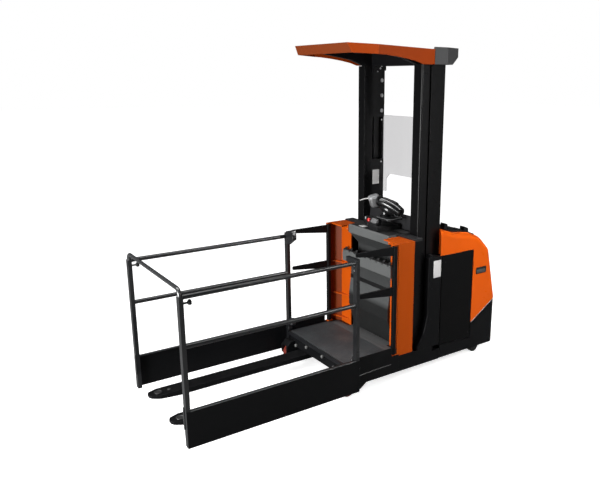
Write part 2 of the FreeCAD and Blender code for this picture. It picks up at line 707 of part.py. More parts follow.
ledgeHeights = (330, 592, 945)
pinLength = 22


def side_gate():
    """A square hinge post with two tapered arms that swing in over the platform."""
    hinge, half = -S("gateHinge"), S("gateTube")
    post = pad("XY_Plane", [
        (hinge - half, gateLine - half), (hinge + half, gateLine - half), (hinge + half, gateLine + half),
        (hinge - half, gateLine + half),
    ], S("gateLow"), S("gateTop"), "post")
    soften(post, S("gateCorner"), lambda e: along(e, "z"))
    bore = S("gatePin") + fitGap
    bores = [
        rod("z", (hinge, gateLine, S("gateLow") - 1), pinLength + 3, bore),
        rod("z", (hinge, gateLine, S("gateTop") - pinLength - 2), pinLength + 3, bore),
    ]
    arms = [
        pad("XZ_Plane", [
            (hinge, top - S("armRoot")), (-S("gateTip"), top - S("armHigh")), (-S("gateTip"), top),
            (hinge, top),
        ], gateLine - S("armThick") / 2, gateLine + S("armThick") / 2, "arm")
        for top in (S("gateTop") - runGap, S("gateArmLow"))
    ]
    return cut(fuse(post, *arms), *bores)


def console():
    """Moulded front of the cab: band recess, sloped panel under the shelf, bulged lower cover."""
    half, back, low = consoleHalf - S("consoleGap"), -S("cabBack"), floorTop
    top = S("worktopTop") - S("worktopThick")
    face = -S("flangeFront")

    def profile(inset):
        return [
            (back + inset, low + inset), (back + inset, top - inset),
            (-S("bandFront") - S("cageOver") - inset, top - inset),
            (-S("bandFront") - S("cageOver") - inset, S("bandLow")),
            (-S("recessBack") - inset, S("bandLow") - S("bracketFlange") / 2),
            (-S("recessBack") - inset, S("shelfLow") + S("binWall") + inset), (face - inset, S("shelfLow")),
            (face - inset, S("shelfUnder")), (-S("bulgeFront") - inset, S("bulgeHigh")),
            (-S("bulgeFront") - inset, S("bulgeHigh") - S("legWidth")), (-S("toeRoom") - inset, low + inset),
        ]

    outer = pad("XZ_Plane", profile(size(0)), -half, half, "console")
    bends = ((-S("recessBack"), S("bandLow") - S("bracketFlange") / 2), (-S("bulgeFront"), S("bulgeHigh")),
             (-S("bulgeFront"), S("bulgeHigh") - S("legWidth")))
    soften(outer, S("legNose"), lambda e: any(crest(e, bend) for bend in bends))
    wall = S("consoleWall")
    inner = pad("XZ_Plane", profile(wall), wall - half, half - wall, "hollow")
    return cut(outer, inner)


def console_top():
    """Worktop with a deep front band, running back between the pillars to an upright panel."""
    top, thick, front = S("worktopTop"), S("worktopThick"), -S("bandFront")
    half = consoleHalf - S("consoleGap") / 2
    edge = thick / 2
    slab = pad("XZ_Plane", [
        (-S("cabBack"), top - thick), (-S("cabBack"), top), (front - edge, top), (front, top - edge),
        (front, S("bandLow")), (front - S("cageOver"), S("bandLow")), (front - S("cageOver"), top - thick),
    ], -half, half, "worktop")
    inside = pillarInner - runGap
    shelf = box(-S("worktopBack"), -S("cabBack"), -inside, inside, top - thick, top)
    panel = pad("XZ_Plane", [
        (-S("worktopBack") - S("backThick"), top - thick), (-S("worktopBack") - S("backThick"), S("backTop")),
        (-S("worktopBack"), S("backTop")), (-S("worktopBack") + S("backThick"), top), (-S("worktopBack"), top - thick),
    ], -inside, inside, "panel")
    sides = box(-S("pillarFront") + runGap, -S("bracketRear") - runGap / 5, half, bracketHalf - S("bracketThick"),
                top - thick, top)
    return fuse(slab, shelf, panel, *both(sides))


def console_tray():
    """Bin across the console's front, with a strip of clips along its lip."""
    front, back, low, half, wall = -S("binFront"), -S("flangeFront") + fitGap, S("binLow"), S("binHalf"), S("binWall")
    form = pad("XZ_Plane", [
        (back, S("binTop")), (back, low), (front - wall * 4, low), (front, low + wall * 2), (front, S("binTop")),
        (front - wall, S("binTop")), (front - wall, low + wall * 3), (back + wall, low + wall),
        (back + wall, S("binTop")),
    ], -half, half, "bin")
    ends = box(back, front - wall, half - wall, half, low + wall / 2, S("binTop") - wall)
    pocket = pad("XZ_Plane", [
        (-S("recessBack"), low + wall), (-S("recessBack"), low + wall * 2), (back, low + wall * 2),
        (back, low + wall),
    ], S("clipThick") - consoleHalf, consoleHalf - S("clipThick"), "floor")
    clips = box(front - S("clipThick") * 1.5, front, wall - half, half - wall, S("binTop"), S("clipTop"))
    return fuse(form, *both(ends), clips)


def control_unit():
    """Angled base on the worktop with the switch block on its front."""
    base = pad("XY_Plane", [(-588, -30), (-588, 122), (-700, 165), (-830, 175), (-840, -10), (-700, -95)],
               S("worktopTop"), S("worktopTop") + 55, "control")
    soften(base, 12, lambda e: near(e.BoundBox.ZMin, S("worktopTop") + 55), "PartDesign::Chamfer")
    block = pad("YZ_Plane", [
        (-125, S("worktopTop") + 40), (-135, S("worktopTop") + 88), (-118, S("worktopTop") + 112),
        (40, S("worktopTop") + 112), (62, S("worktopTop") + 92), (62, S("worktopTop") + 50),
    ], -665, -606, "switches")
    soften(block, 8, lambda e: near(e.BoundBox.XMin, -606), "PartDesign::Chamfer")
    return fuse(base, block)


def steering_handle():
    """Round post, rounded head and a grip that slopes back over the worktop."""
    top = S("worktopTop") + 55
    post = rod("z", (-715, 40, top), 100, 42)
    head = pad("XY_Plane", [(-640, -95), (-625, 0), (-665, 85), (-760, 95), (-790, 10), (-740, -95)],
               top + 100, top + 225, "head")
    soften(head, 30, lambda e: near(e.BoundBox.ZMin, top + 225))
    grip = doc.addObject("Part::Loft", fresh("grip"))
    sections = []
    for station, width, high, low in ((20, 70, 205, 120), (120, 78, 190, 80), (235, 60, 120, 40)):
        outline = doc.addObject("PartDesign::Body", fresh("section"))
        drawn = sketch(outline, "XZ_Plane", [
            (-745 - width, top + low), (-745 + width, top + low), (-745 + width * 0.7, top + high),
            (-745 - width * 0.7, top + high),
        ], size(-station))
        sections.append(drawn)
    grip.Sections = sections
    grip.Solid = True
    grip.Ruled = True
    return fuse(post, head, grip)


def roof_form(inset):
    """The shell's side profile, leaning back at the front and arched below, cut to its plan."""
    front, rear = -S("roofFront") - inset, -S("roofRear") + inset
    top_rear, top_front = S("roofRearTop") - inset, S("roofFrontTop") - inset
    lip, eave = S("roofLip"), S("roofEave")
    if inset.number == 0:
        profile = [(rear, eave), (rear, top_rear), (front, top_front), (front - S("roofLean"), lip)]
        profile += [(-along_x, lip - drop) for along_x, drop in archPoints] + [(-S("bracketRear") - 100, eave)]
        narrow = front
    else:
        low = eave - inset * 10
        narrow = front - S("roofLean")
        profile = [(rear, low), (rear, top_rear), (front, top_front), (narrow, lip), (narrow, low)]
    side = pad("XZ_Plane", profile, -roofHalf - 1, roofHalf + 1, "roof")
    wide, tight = roofHalf - inset, roofHalf - S("roofNarrow") - inset
    plan = pad("XY_Plane", [
        (front, -tight), (front, tight), (-S("roofFlare"), wide), (rear, wide), (rear, -wide), (-S("roofFlare"), -wide),
    ], eave - inset * 10 - 1, S("roofFrontTop") + 1, "plan")
    return common(side, plan)


archPoints = ((360, 11), (480, 22), (600, 38), (710, 58))


def overhead_guard():
    return cut(roof_form(size(0)), roof_form(S("roofWall")))


def guard_arms():
    """Two curved arms from the pillars, cross bars and an arched plate under the guard's shell."""
    low, wall, deep, wide = S("pillarTop"), S("roofWall"), S("barDeep"), S("barWide")
    rear, front = -S("roofRear") + wall, -S("roofFront") - wall
    slope = (S("roofFrontTop") - S("roofRearTop")) / (front - rear)

    def under(x):
        """The height of the shell's underside."""
        return S("roofRearTop") - wall - fitGap + (size(x) - rear) * slope

    back, tip = -S("pillarRear"), -S("roofFront") - S("roofLean") - wall * 3
    root, elbow, knee = -S("pillarFront"), -S("roofFlare") - 75, -S("bracketRear") + 60
    arm = pad("XZ_Plane", [
        (back, low), (back, under(back)), (tip, under(tip)), (tip, under(tip) - deep),
        (elbow, under(elbow) - deep * 2.5), (knee, under(knee) - deep * 4), (root, low),
    ], pillarInner, pillarInner + S("armWidth"), "arm")
    soften(arm, S("legWidth"), lambda e: crest(e, (knee, under(knee) - deep * 4)) or crest(e, (elbow, under(elbow) - deep * 2.5)))
    half = pillarInner + S("armWidth")
    bars = [
        box(x, x + wide, -half, half, under(x) - deep, under(x))
        for x in (tip + wall - wide + deep * number * -S("barStep") / deep for number in range(4))
    ]
    plate = pad("YZ_Plane", [
        (-pillarInner, S("crossLow")), (-pillarInner, under(back)), (pillarInner, under(back)),
        (pillarInner, S("crossLow")), (pillarInner - wide, S("crossArch")), (wide - pillarInner, S("crossArch")),
    ], back, back + S("sheetSteel"), "plate")
    return fuse(*both(arm), *bars, plate)


def screen():
    """Clear sheet between the pillars' plates, notched below for the driver's view."""
    rear = -S("plateRear")
    half = pillarInner + S("backThick") / 3
    sheet_ = box(rear - S("screenThick"), rear, -half, half, S("screenLow"), S("screenTop"))
    leg = S("screenLeg")
    notch = pad("YZ_Plane", [
        (leg - half, S("screenLow") - 1), (leg - half, S("screenNotch") - leg), (leg * 2 - half, S("screenNotch")),
        (half - leg * 2, S("screenNotch")), (half - leg, S("screenNotch") - leg), (half - leg, S("screenLow") - 1),
    ], rear - S("screenThick") - 1, rear + 1, "notch")
    return cut(sheet_, notch)


# --- guard cage ---------------------------------------------------------------------------------


def guard_frame():
    span, top = S("cageLength"), S("topRail")
    front = box(span - postDeep / 2, span + postDeep / 2, postIn, postOut, S("toeLow"), top + runGap)
    middle = box(-postDeep / 2, postDeep / 2, postIn, postOut, S("toeLow"), top + postDeep)
    rails = [
        rod("x", (postDeep / 2 - 1, cageHalf, height), span - postDeep + 2, S("railRadius"))
        for height in (top, S("midRail"))
    ]
    socket = rod("z", (span, cageHalf, S("barHeight") - S("barLeg") - runGap), S("barLeg"), S("barRadius") + fitGap)
    reach = postWide * 2.2
    latch = pad("YZ_Plane", [
        (postIn, top - postWide), (postIn, top + postDeep), (postIn - reach, top + postDeep),
        (postIn - reach, top - runGap),
    ], -postDeep / 2, postDeep / 2, "latch")
    stem, knob, high = S("gatePin"), S("barRadius"), top - postWide
    spindle = rod("x", (span - postDeep - knob * 2, cageHalf, high), postDeep / 2 + knob * 2, stem)
    ball = rod("x", (span - postDeep - knob * 3, cageHalf, high), knob * 1.5, knob)
    return fuse(cut(fuse(front, middle, *rails), socket), latch, spindle, ball)


def front_bar():
    """One bent bar that drops into the front posts."""
    span, bend, high, radius = S("cageLength", "barBend", "barHeight", "barRadius")
    low = high - S("barLeg")
    leg = rod("z", (span, cageHalf, low), high - bend - low, radius)
    elbow = doc.addObject("Part::Torus", fresh("elbow"))
    elbow.Placement = Placement(Vector(), Rotation(Vector(0, 1, 0), Vector(0, 0, 1), Vector(1, 0, 0)))
    elbow.Angle3 = 90
    bind(elbow, "Radius1", bend)
    bind(elbow, "Radius2", radius)
    place(elbow, span, cageHalf - bend, high - bend)
    cross = rod("y", (span, bend - cageHalf, high), (cageHalf - bend) * 2, radius)
    return fuse(*both(fuse(leg, elbow)), cross)


def toe_board():
    """Sheet board on the posts' outer faces, folded inwards along its top edge."""
    x0, x1 = -postDeep / 2, S("cageLength") + postDeep / 2
    thick, top = S("toeThick"), S("toeTop")
    web = box(x0, x1, postOut, postOut + thick, S("toeLow"), top)
    lip = box(postDeep / 2, S("cageLength") - postDeep / 2, postOut - S("toeFlange"), postOut, top - thick, top)
    return fuse(web, lip)


# --- wheels -------------------------------------------------------------------------------------


def wheel(x, y, radius, width, bore):
    rim = rod("y", (x, y - size(width) / 2, radius), width, radius)
    hole = rod("y", (x, y - size(width) / 2 - 1, radius), size(width) + 2, bore)
    return cut(rim, hole)


def load_wheel():
    return wheel(S("loadStation"), (legInner + bodyHalf) / 2, S("loadRadius"), S("loadWidth"),
                 S("axleRadius") + fitGap)


def drive_unit():
    """Slewing ring on the deck with a one-sided arm that carries the wheel's axle."""
    x, under = -S("driveStation"), S("deckTop") - S("deckThick")
    flange, radius, width = S("driveFlange"), S("driveRadius"), S("driveWidth")
    side, arm = width / 2 + runGap, S("driveArm")
    over = radius * 2 + runGap * 4
    ring = rod("z", (x, 0, under), S("deckThick") + flange, ringRadius)
    seat = rod("z", (x, 0, S("deckTop") + fitGap), flange - fitGap, ringRadius * 1.2)
    neck = ringRadius * 0.65
    crown = box(x - neck, x + neck, -neck, neck, over, under)
    cheek = pad("XZ_Plane", [
        (x - arm, radius - arm), (x + arm, radius - arm), (x + arm * 1.5, over + runGap),
        (x - arm * 1.5, over + runGap),
    ], side, side + arm, "cheek")
    axle = rod("y", (x, -width / 2, radius), width + runGap * 2, S("driveAxle"))
    return fuse(ring, seat, crown, cheek, axle)


def drive_wheel():
    return wheel(-S("driveStation"), 0, S("driveRadius"), S("driveWidth"), S("driveAxle") + fitGap)


def drive_motor():
    return rod("z", (-S("driveStation"), 0, S("deckTop") + S("driveFlange") + fitGap), S("motorHigh"), S("motorRadius"))


def castor_fork():
    """Swivel plate with two cheeks that trail the wheel behind its stem."""
    x, y = -S("castorStation"), castorLine
    radius, trail, cheek = S("castorRadius"), S("castorTrail"), S("castorCheek")
    thick, plate = S("toeThick"), S("castorPlate")
    inner = S("castorWidth") / 2 + runGap
    outer = inner + thick
    stem = rod("z", (x, y, castorTop - plate), plate - fitGap, cheek)
    top = box(x - trail - cheek * 1.2, x + cheek * 1.4, y - outer, y + outer, castorTop - plate * 1.5, castorTop - plate)
    cheeks = [
        pad("XZ_Plane", [
            (x - trail - cheek * 0.7, radius - cheek * 0.7), (x - trail + cheek * 0.7, radius - cheek * 0.7),
            (x + cheek, castorTop - plate * 1.5), (x - trail - cheek, castorTop - plate * 1.5),
        ], side, side + thick, "cheek") for side in (y + inner, y - outer)
    ]
    axle = rod("y", (x - trail, y - outer, radius), outer * 2, S("castorAxle"))
    return fuse(stem, top, *cheeks, axle)


def castor_wheel():
    return wheel(-S("castorStation") - S("castorTrail"), castorLine, S("castorRadius"), S("castorWidth"),
                 S("castorAxle") + fitGap)


# --- the assembly -------------------------------------------------------------------------------

node("chassis_frame", chassis_frame())
pair("mast_cover", mast_cover())
pair("battery_panel", battery_panel())
batteryHalf = bodyHalf - S("batteryGap")
node("battery_pack", box(-S("trayRear") + S("deckThick"), -S("trayFront") - runGap, -batteryHalf, batteryHalf,
                         S("trayTop"), S("batteryTop")))
node("motor_hood", motor_hood())
node("hood_caps", hood_caps())
node("rear_skirt", rear_skirt())
node("drive_motor", drive_motor())
node("outer_mast", outer_mast())
node("mast_top_cover", mast_top_cover())
node("lift_cylinders", lift_cylinders())
node("inner_mast", inner_mast())
node("lift_rods", lift_rods())
pair("cab_pillar", cab_pillar())
node("platform", platform())
node("floor_mat", floor_mat())
pair("fork", fork())
pair("side_bracket", side_bracket())
pair("side_gate", side_gate())
node("console", console())
node("console_top", console_top())
node("console_tray", console_tray())
node("control_unit", control_unit())
node("steering_handle", steering_handle())
node("overhead_guard", overhead_guard())
node("guard_arms", guard_arms())
node("screen", screen())
pair("guard_frame", guard_frame())
node("front_bar", front_bar())
pair("toe_board", toe_board())
pair("load_wheel", load_wheel())
node("drive_unit", drive_unit())
node("drive_wheel", drive_wheel())
pair("castor_fork", castor_fork())
pair("castor_wheel", castor_wheel())

doc.recompute()
faults = [o.Name for o in doc.Objects if {"Invalid", "Error"} & set(o.State)]
for piece in nodes:
    if piece.Shape.isNull() or not piece.Shape.isValid() or not piece.Shape.Solids:
        faults.append(piece.Label)
if faults:
    raise SystemExit(f"failed: {faults}")

os.makedirs("parts", exist_ok=True)
whole = FreeCAD.BoundBox()
for piece in nodes:
    piece.Shape.exportStep(f"parts/{piece.Label}.step")
    whole.add(piece.Shape.BoundBox)
print(len(nodes), "sub-parts", whole)
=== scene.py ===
import math

import bmesh
import bpy
from mathutils import Matrix, Vector


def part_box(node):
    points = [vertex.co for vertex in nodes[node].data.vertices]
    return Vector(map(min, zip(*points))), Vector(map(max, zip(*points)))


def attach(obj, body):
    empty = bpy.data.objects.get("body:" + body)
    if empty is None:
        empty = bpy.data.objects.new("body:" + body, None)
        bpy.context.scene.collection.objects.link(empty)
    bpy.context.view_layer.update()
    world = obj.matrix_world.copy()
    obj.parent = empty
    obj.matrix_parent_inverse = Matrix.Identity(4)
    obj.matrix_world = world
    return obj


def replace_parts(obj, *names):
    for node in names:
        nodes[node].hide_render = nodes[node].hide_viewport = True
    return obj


# order picker with a standing cab: finishes, fittings, controls and studio round the frame
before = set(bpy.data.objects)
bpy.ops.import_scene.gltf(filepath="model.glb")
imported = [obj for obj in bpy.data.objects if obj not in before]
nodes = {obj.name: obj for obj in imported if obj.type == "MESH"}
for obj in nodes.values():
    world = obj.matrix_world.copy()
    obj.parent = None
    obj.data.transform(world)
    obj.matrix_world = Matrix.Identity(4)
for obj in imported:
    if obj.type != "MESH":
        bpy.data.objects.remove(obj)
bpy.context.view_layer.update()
scene = bpy.context.scene


def corners(node):
    low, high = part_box(node)
    return Vector(low), Vector(high)


# faces that the added pieces sit on; every x is taken from the line of the cage's middle posts
postDepth = 0.035
middle = corners("guard_frame_left")[0].x + postDepth / 2
cageEnd = corners("guard_frame_left")[1].x - middle
postSide = corners("guard_frame_left")[1].y
tailEnd = middle - corners("rear_skirt")[0].x
bodySide = corners("battery_panel_left")[1].y
coverSide = corners("mast_cover_left")[1].y
plateInside = corners("cab_pillar_left")[0].y
bracketSide = corners("side_bracket_left")[1].y
platformSide = corners("platform")[1].y
boardSide = corners("toe_board_left")[1].y
forkTip = corners("fork_left")[1].x - middle
matTop = corners("floor_mat")[1].z
unitTop = corners("control_unit")[1].z
worktop = 1.385
front, rear, left, right, up = (1, 0, 0), (-1, 0, 0), (0, 1, 0), (0, -1, 0), (0, 0, 1)
sides = (("left", 1), ("right", -1))


def spot(x, y, z):
    return Vector((middle + x, y, z))


# a place whose own Z looks along normal and whose Y is near top
def facing(origin, normal, top=up):
    z = Vector(normal).normalized()
    y = (Vector(top) - z * Vector(top).dot(z)).normalized()
    x = y.cross(z)
    return Matrix.Translation(origin) @ Matrix((x, y, z)).transposed().to_4x4()


# the same from a spot on the left; sign -1 sets it on the right, and lift moves it along its own Z
def where(at, normal, top=up, sign=1, lift=0.0):
    place = facing(spot(at[0], sign * at[1], at[2]), (normal[0], sign * normal[1], normal[2]), top)
    return place @ Matrix.Translation((0, 0, lift))


print("frame loaded", len(nodes))


# a node tree with short ways to add nodes, link them and set their values
class Tree:
    def __init__(self, tree):
        self.tree = tree

    def fill(self, sockets, values):
        for name, value in values.items():
            if isinstance(value, bpy.types.NodeSocket):
                self.tree.links.new(value, sockets[name])
            else:
                sockets[name].default_value = value

    def add(self, kind, values=None, **settings):
        node = self.tree.nodes.new(kind)
        for name, value in settings.items():
            setattr(node, name, value)
        self.fill(node.inputs, values or {})
        return node

    def place(self):
        return self.add("ShaderNodeTexCoord").outputs["Object"]

    def normal(self):
        return self.add("ShaderNodeNewGeometry").outputs["Normal"]

    def axis(self, vector, name):
        return self.add("ShaderNodeSeparateXYZ", {"Vector": vector}).outputs[name]

    def math(self, operation, a, b=0.0, clamp=False):
        return self.add("ShaderNodeMath", {0: a, 1: b}, operation=operation, use_clamp=clamp).outputs[0]

    def vector(self, operation, values, out="Vector"):
        return self.add("ShaderNodeVectorMath", values, operation=operation).outputs[out]

    def mix(self, factor, a, b):
        values = {0: factor, 6: a, 7: b}
        return self.add("ShaderNodeMix", values, data_type="RGBA", clamp_factor=True).outputs[2]

    def spread(self, value, low, high, toLow=0.0, toHigh=1.0):
        values = {"Value": value, "From Min": low, "From Max": high, "To Min": toLow, "To Max": toHigh}
        return self.add("ShaderNodeMapRange", values, clamp=True).outputs["Result"]

    def noise(self, vector, scale, detail=3.0, rough=0.5):
        values = {"Vector": vector, "Scale": scale, "Detail": detail, "Roughness": rough}
        return self.add("ShaderNodeTexNoise", values).outputs["Fac"]

    def stretched(self, vector, scale):
        return self.add("ShaderNodeMapping", {"Vector": vector, "Scale": scale}).outputs["Vector"]

    def rounded(self, radius):
        return self.add("ShaderNodeBevel", {"Radius": radius}, samples=4).outputs["Normal"]

    def bump(self, height, strength, distance, normal=None):
        values = {"Height": height, "Strength": strength, "Distance": distance}
        if normal is not None:
            values["Normal"] = normal
        return self.add("ShaderNodeBump", values).outputs["Normal"]


def newGroup(name, inputs, outputs):
    tree = bpy.data.node_groups.new(name, "ShaderNodeTree")
    for label, kind, value in inputs:
        socket = tree.interface.new_socket(label, in_out="INPUT", socket_type=f"NodeSocket{kind}")
        socket.default_value = value
    for label, kind in outputs:
        tree.interface.new_socket(label, in_out="OUTPUT", socket_type=f"NodeSocket{kind}")
    group = Tree(tree)
    return group, group.add("NodeGroupInput").outputs, group.add("NodeGroupOutput").inputs


ageing = dict(driftScale=3.1, patchScale=21.0, patchShare=0.5, runScale=(60.0, 60.0, 4.0), runShare=0.35,
              corner=(0.99, 0.8), rubbed=(0.38, 0.62), upward=(0.5, 1.0), dustScale=9.0,
              dustPatches=(0.35, 0.75), dustColor=(0.2, 0.19, 0.175, 1), dustRoughness=0.3,
              roughnessSwing=0.16, grainHeight=0.0006)


# colour that drifts, rubbed corners, dust on what faces up, and a fine grain
def makeFinishGroup():
    t, given, out = newGroup("finish", [
        ("Color", "Color", (0.5, 0.5, 0.5, 1)), ("Worn Color", "Color", (0.3, 0.3, 0.3, 1)),
        ("Roughness", "Float", 0.4), ("Variation", "Float", 0.2), ("Wear", "Float", 0.2),
        ("Dust", "Float", 0.1), ("Grain Scale", "Float", 800.0), ("Grain Depth", "Float", 0.1),
        ("Edge Radius", "Float", 0.0025),
    ], [("Color", "Color"), ("Roughness", "Float"), ("Normal", "Vector")])
    place, normal, rounded = t.place(), t.normal(), t.rounded(given["Edge Radius"])
    corner = t.spread(t.vector("DOT_PRODUCT", {0: rounded, 1: normal}, "Value"), *ageing["corner"])
    patch = t.noise(place, ageing["patchScale"], 5.0, 0.62)
    runs = t.noise(t.stretched(place, ageing["runScale"]), 1.0, 3.0, 0.6)

    def swing(field, share):
        return t.math("MULTIPLY", t.math("SUBTRACT", field, 0.5), share)

    tone = swing(t.noise(place, ageing["driftScale"], 4.0), given["Variation"])
    for field, share in ((patch, ageing["patchShare"]), (runs, ageing["runShare"])):
        tone = t.math("ADD", tone, swing(field, t.math("MULTIPLY", given["Variation"], share)))
    shade = t.add("ShaderNodeHueSaturation", {"Color": given["Color"], "Value": t.math("ADD", tone, 1.0)})
    rubbed = t.math("MULTIPLY", t.math("MULTIPLY", corner, t.spread(patch, *ageing["rubbed"])), given["Wear"])
    worn = t.mix(rubbed, shade.outputs["Color"], given["Worn Color"])
    settled = t.math("MULTIPLY", t.spread(t.axis(normal, "Z"), *ageing["upward"]),
                     t.spread(t.noise(place, ageing["dustScale"], 5.0, 0.7), *ageing["dustPatches"]))
    settled = t.math("MULTIPLY", settled, given["Dust"])
    rough = t.math("ADD", given["Roughness"], swing(patch, ageing["roughnessSwing"]))
    grain = t.noise(place, given["Grain Scale"], 2.0)
    t.fill(out, {
        "Color": t.mix(settled, worn, ageing["dustColor"]),
        "Roughness": t.math("ADD", rough, t.math("MULTIPLY", settled, ageing["dustRoughness"]), clamp=True),
        "Normal": t.bump(grain, given["Grain Depth"], ageing["grainHeight"], rounded)})
    return t.tree


tread = dict(pitch=0.012, fill=0.34, soft=0.08, height=0.0006, strength=0.6, edge=0.003)


# low round studs in staggered rows
def makeTreadGroup():
    t, given, out = newGroup("tread", [
        ("Pitch", "Float", tread["pitch"]), ("Fill", "Float", tread["fill"]),
        ("Height", "Float", tread["height"]),
    ], [("Studs", "Float"), ("Normal", "Vector")])
    scaled = t.vector("SCALE", {0: t.place(), "Scale": t.math("DIVIDE", 1.0, given["Pitch"])})
    x, y = t.axis(scaled, "X"), t.axis(scaled, "Y")
    shift = t.math("MULTIPLY", t.math("MODULO", t.math("FLOOR", y), 2.0), 0.5)
    u = t.math("SUBTRACT", t.math("FRACT", t.math("ADD", x, shift)), 0.5)
    v = t.math("SUBTRACT", t.math("FRACT", y), 0.5)
    away = t.math("SQRT", t.math("ADD", t.math("MULTIPLY", u, u), t.math("MULTIPLY", v, v)))
    studs = t.spread(away, t.math("ADD", given["Fill"], tread["soft"]), given["Fill"])
    t.fill(out, {"Studs": studs,
                 "Normal": t.bump(studs, tread["strength"], given["Height"], t.rounded(tread["edge"]))})
    return t.tree


finishGroup, treadGroup = makeFinishGroup(), makeTreadGroup()

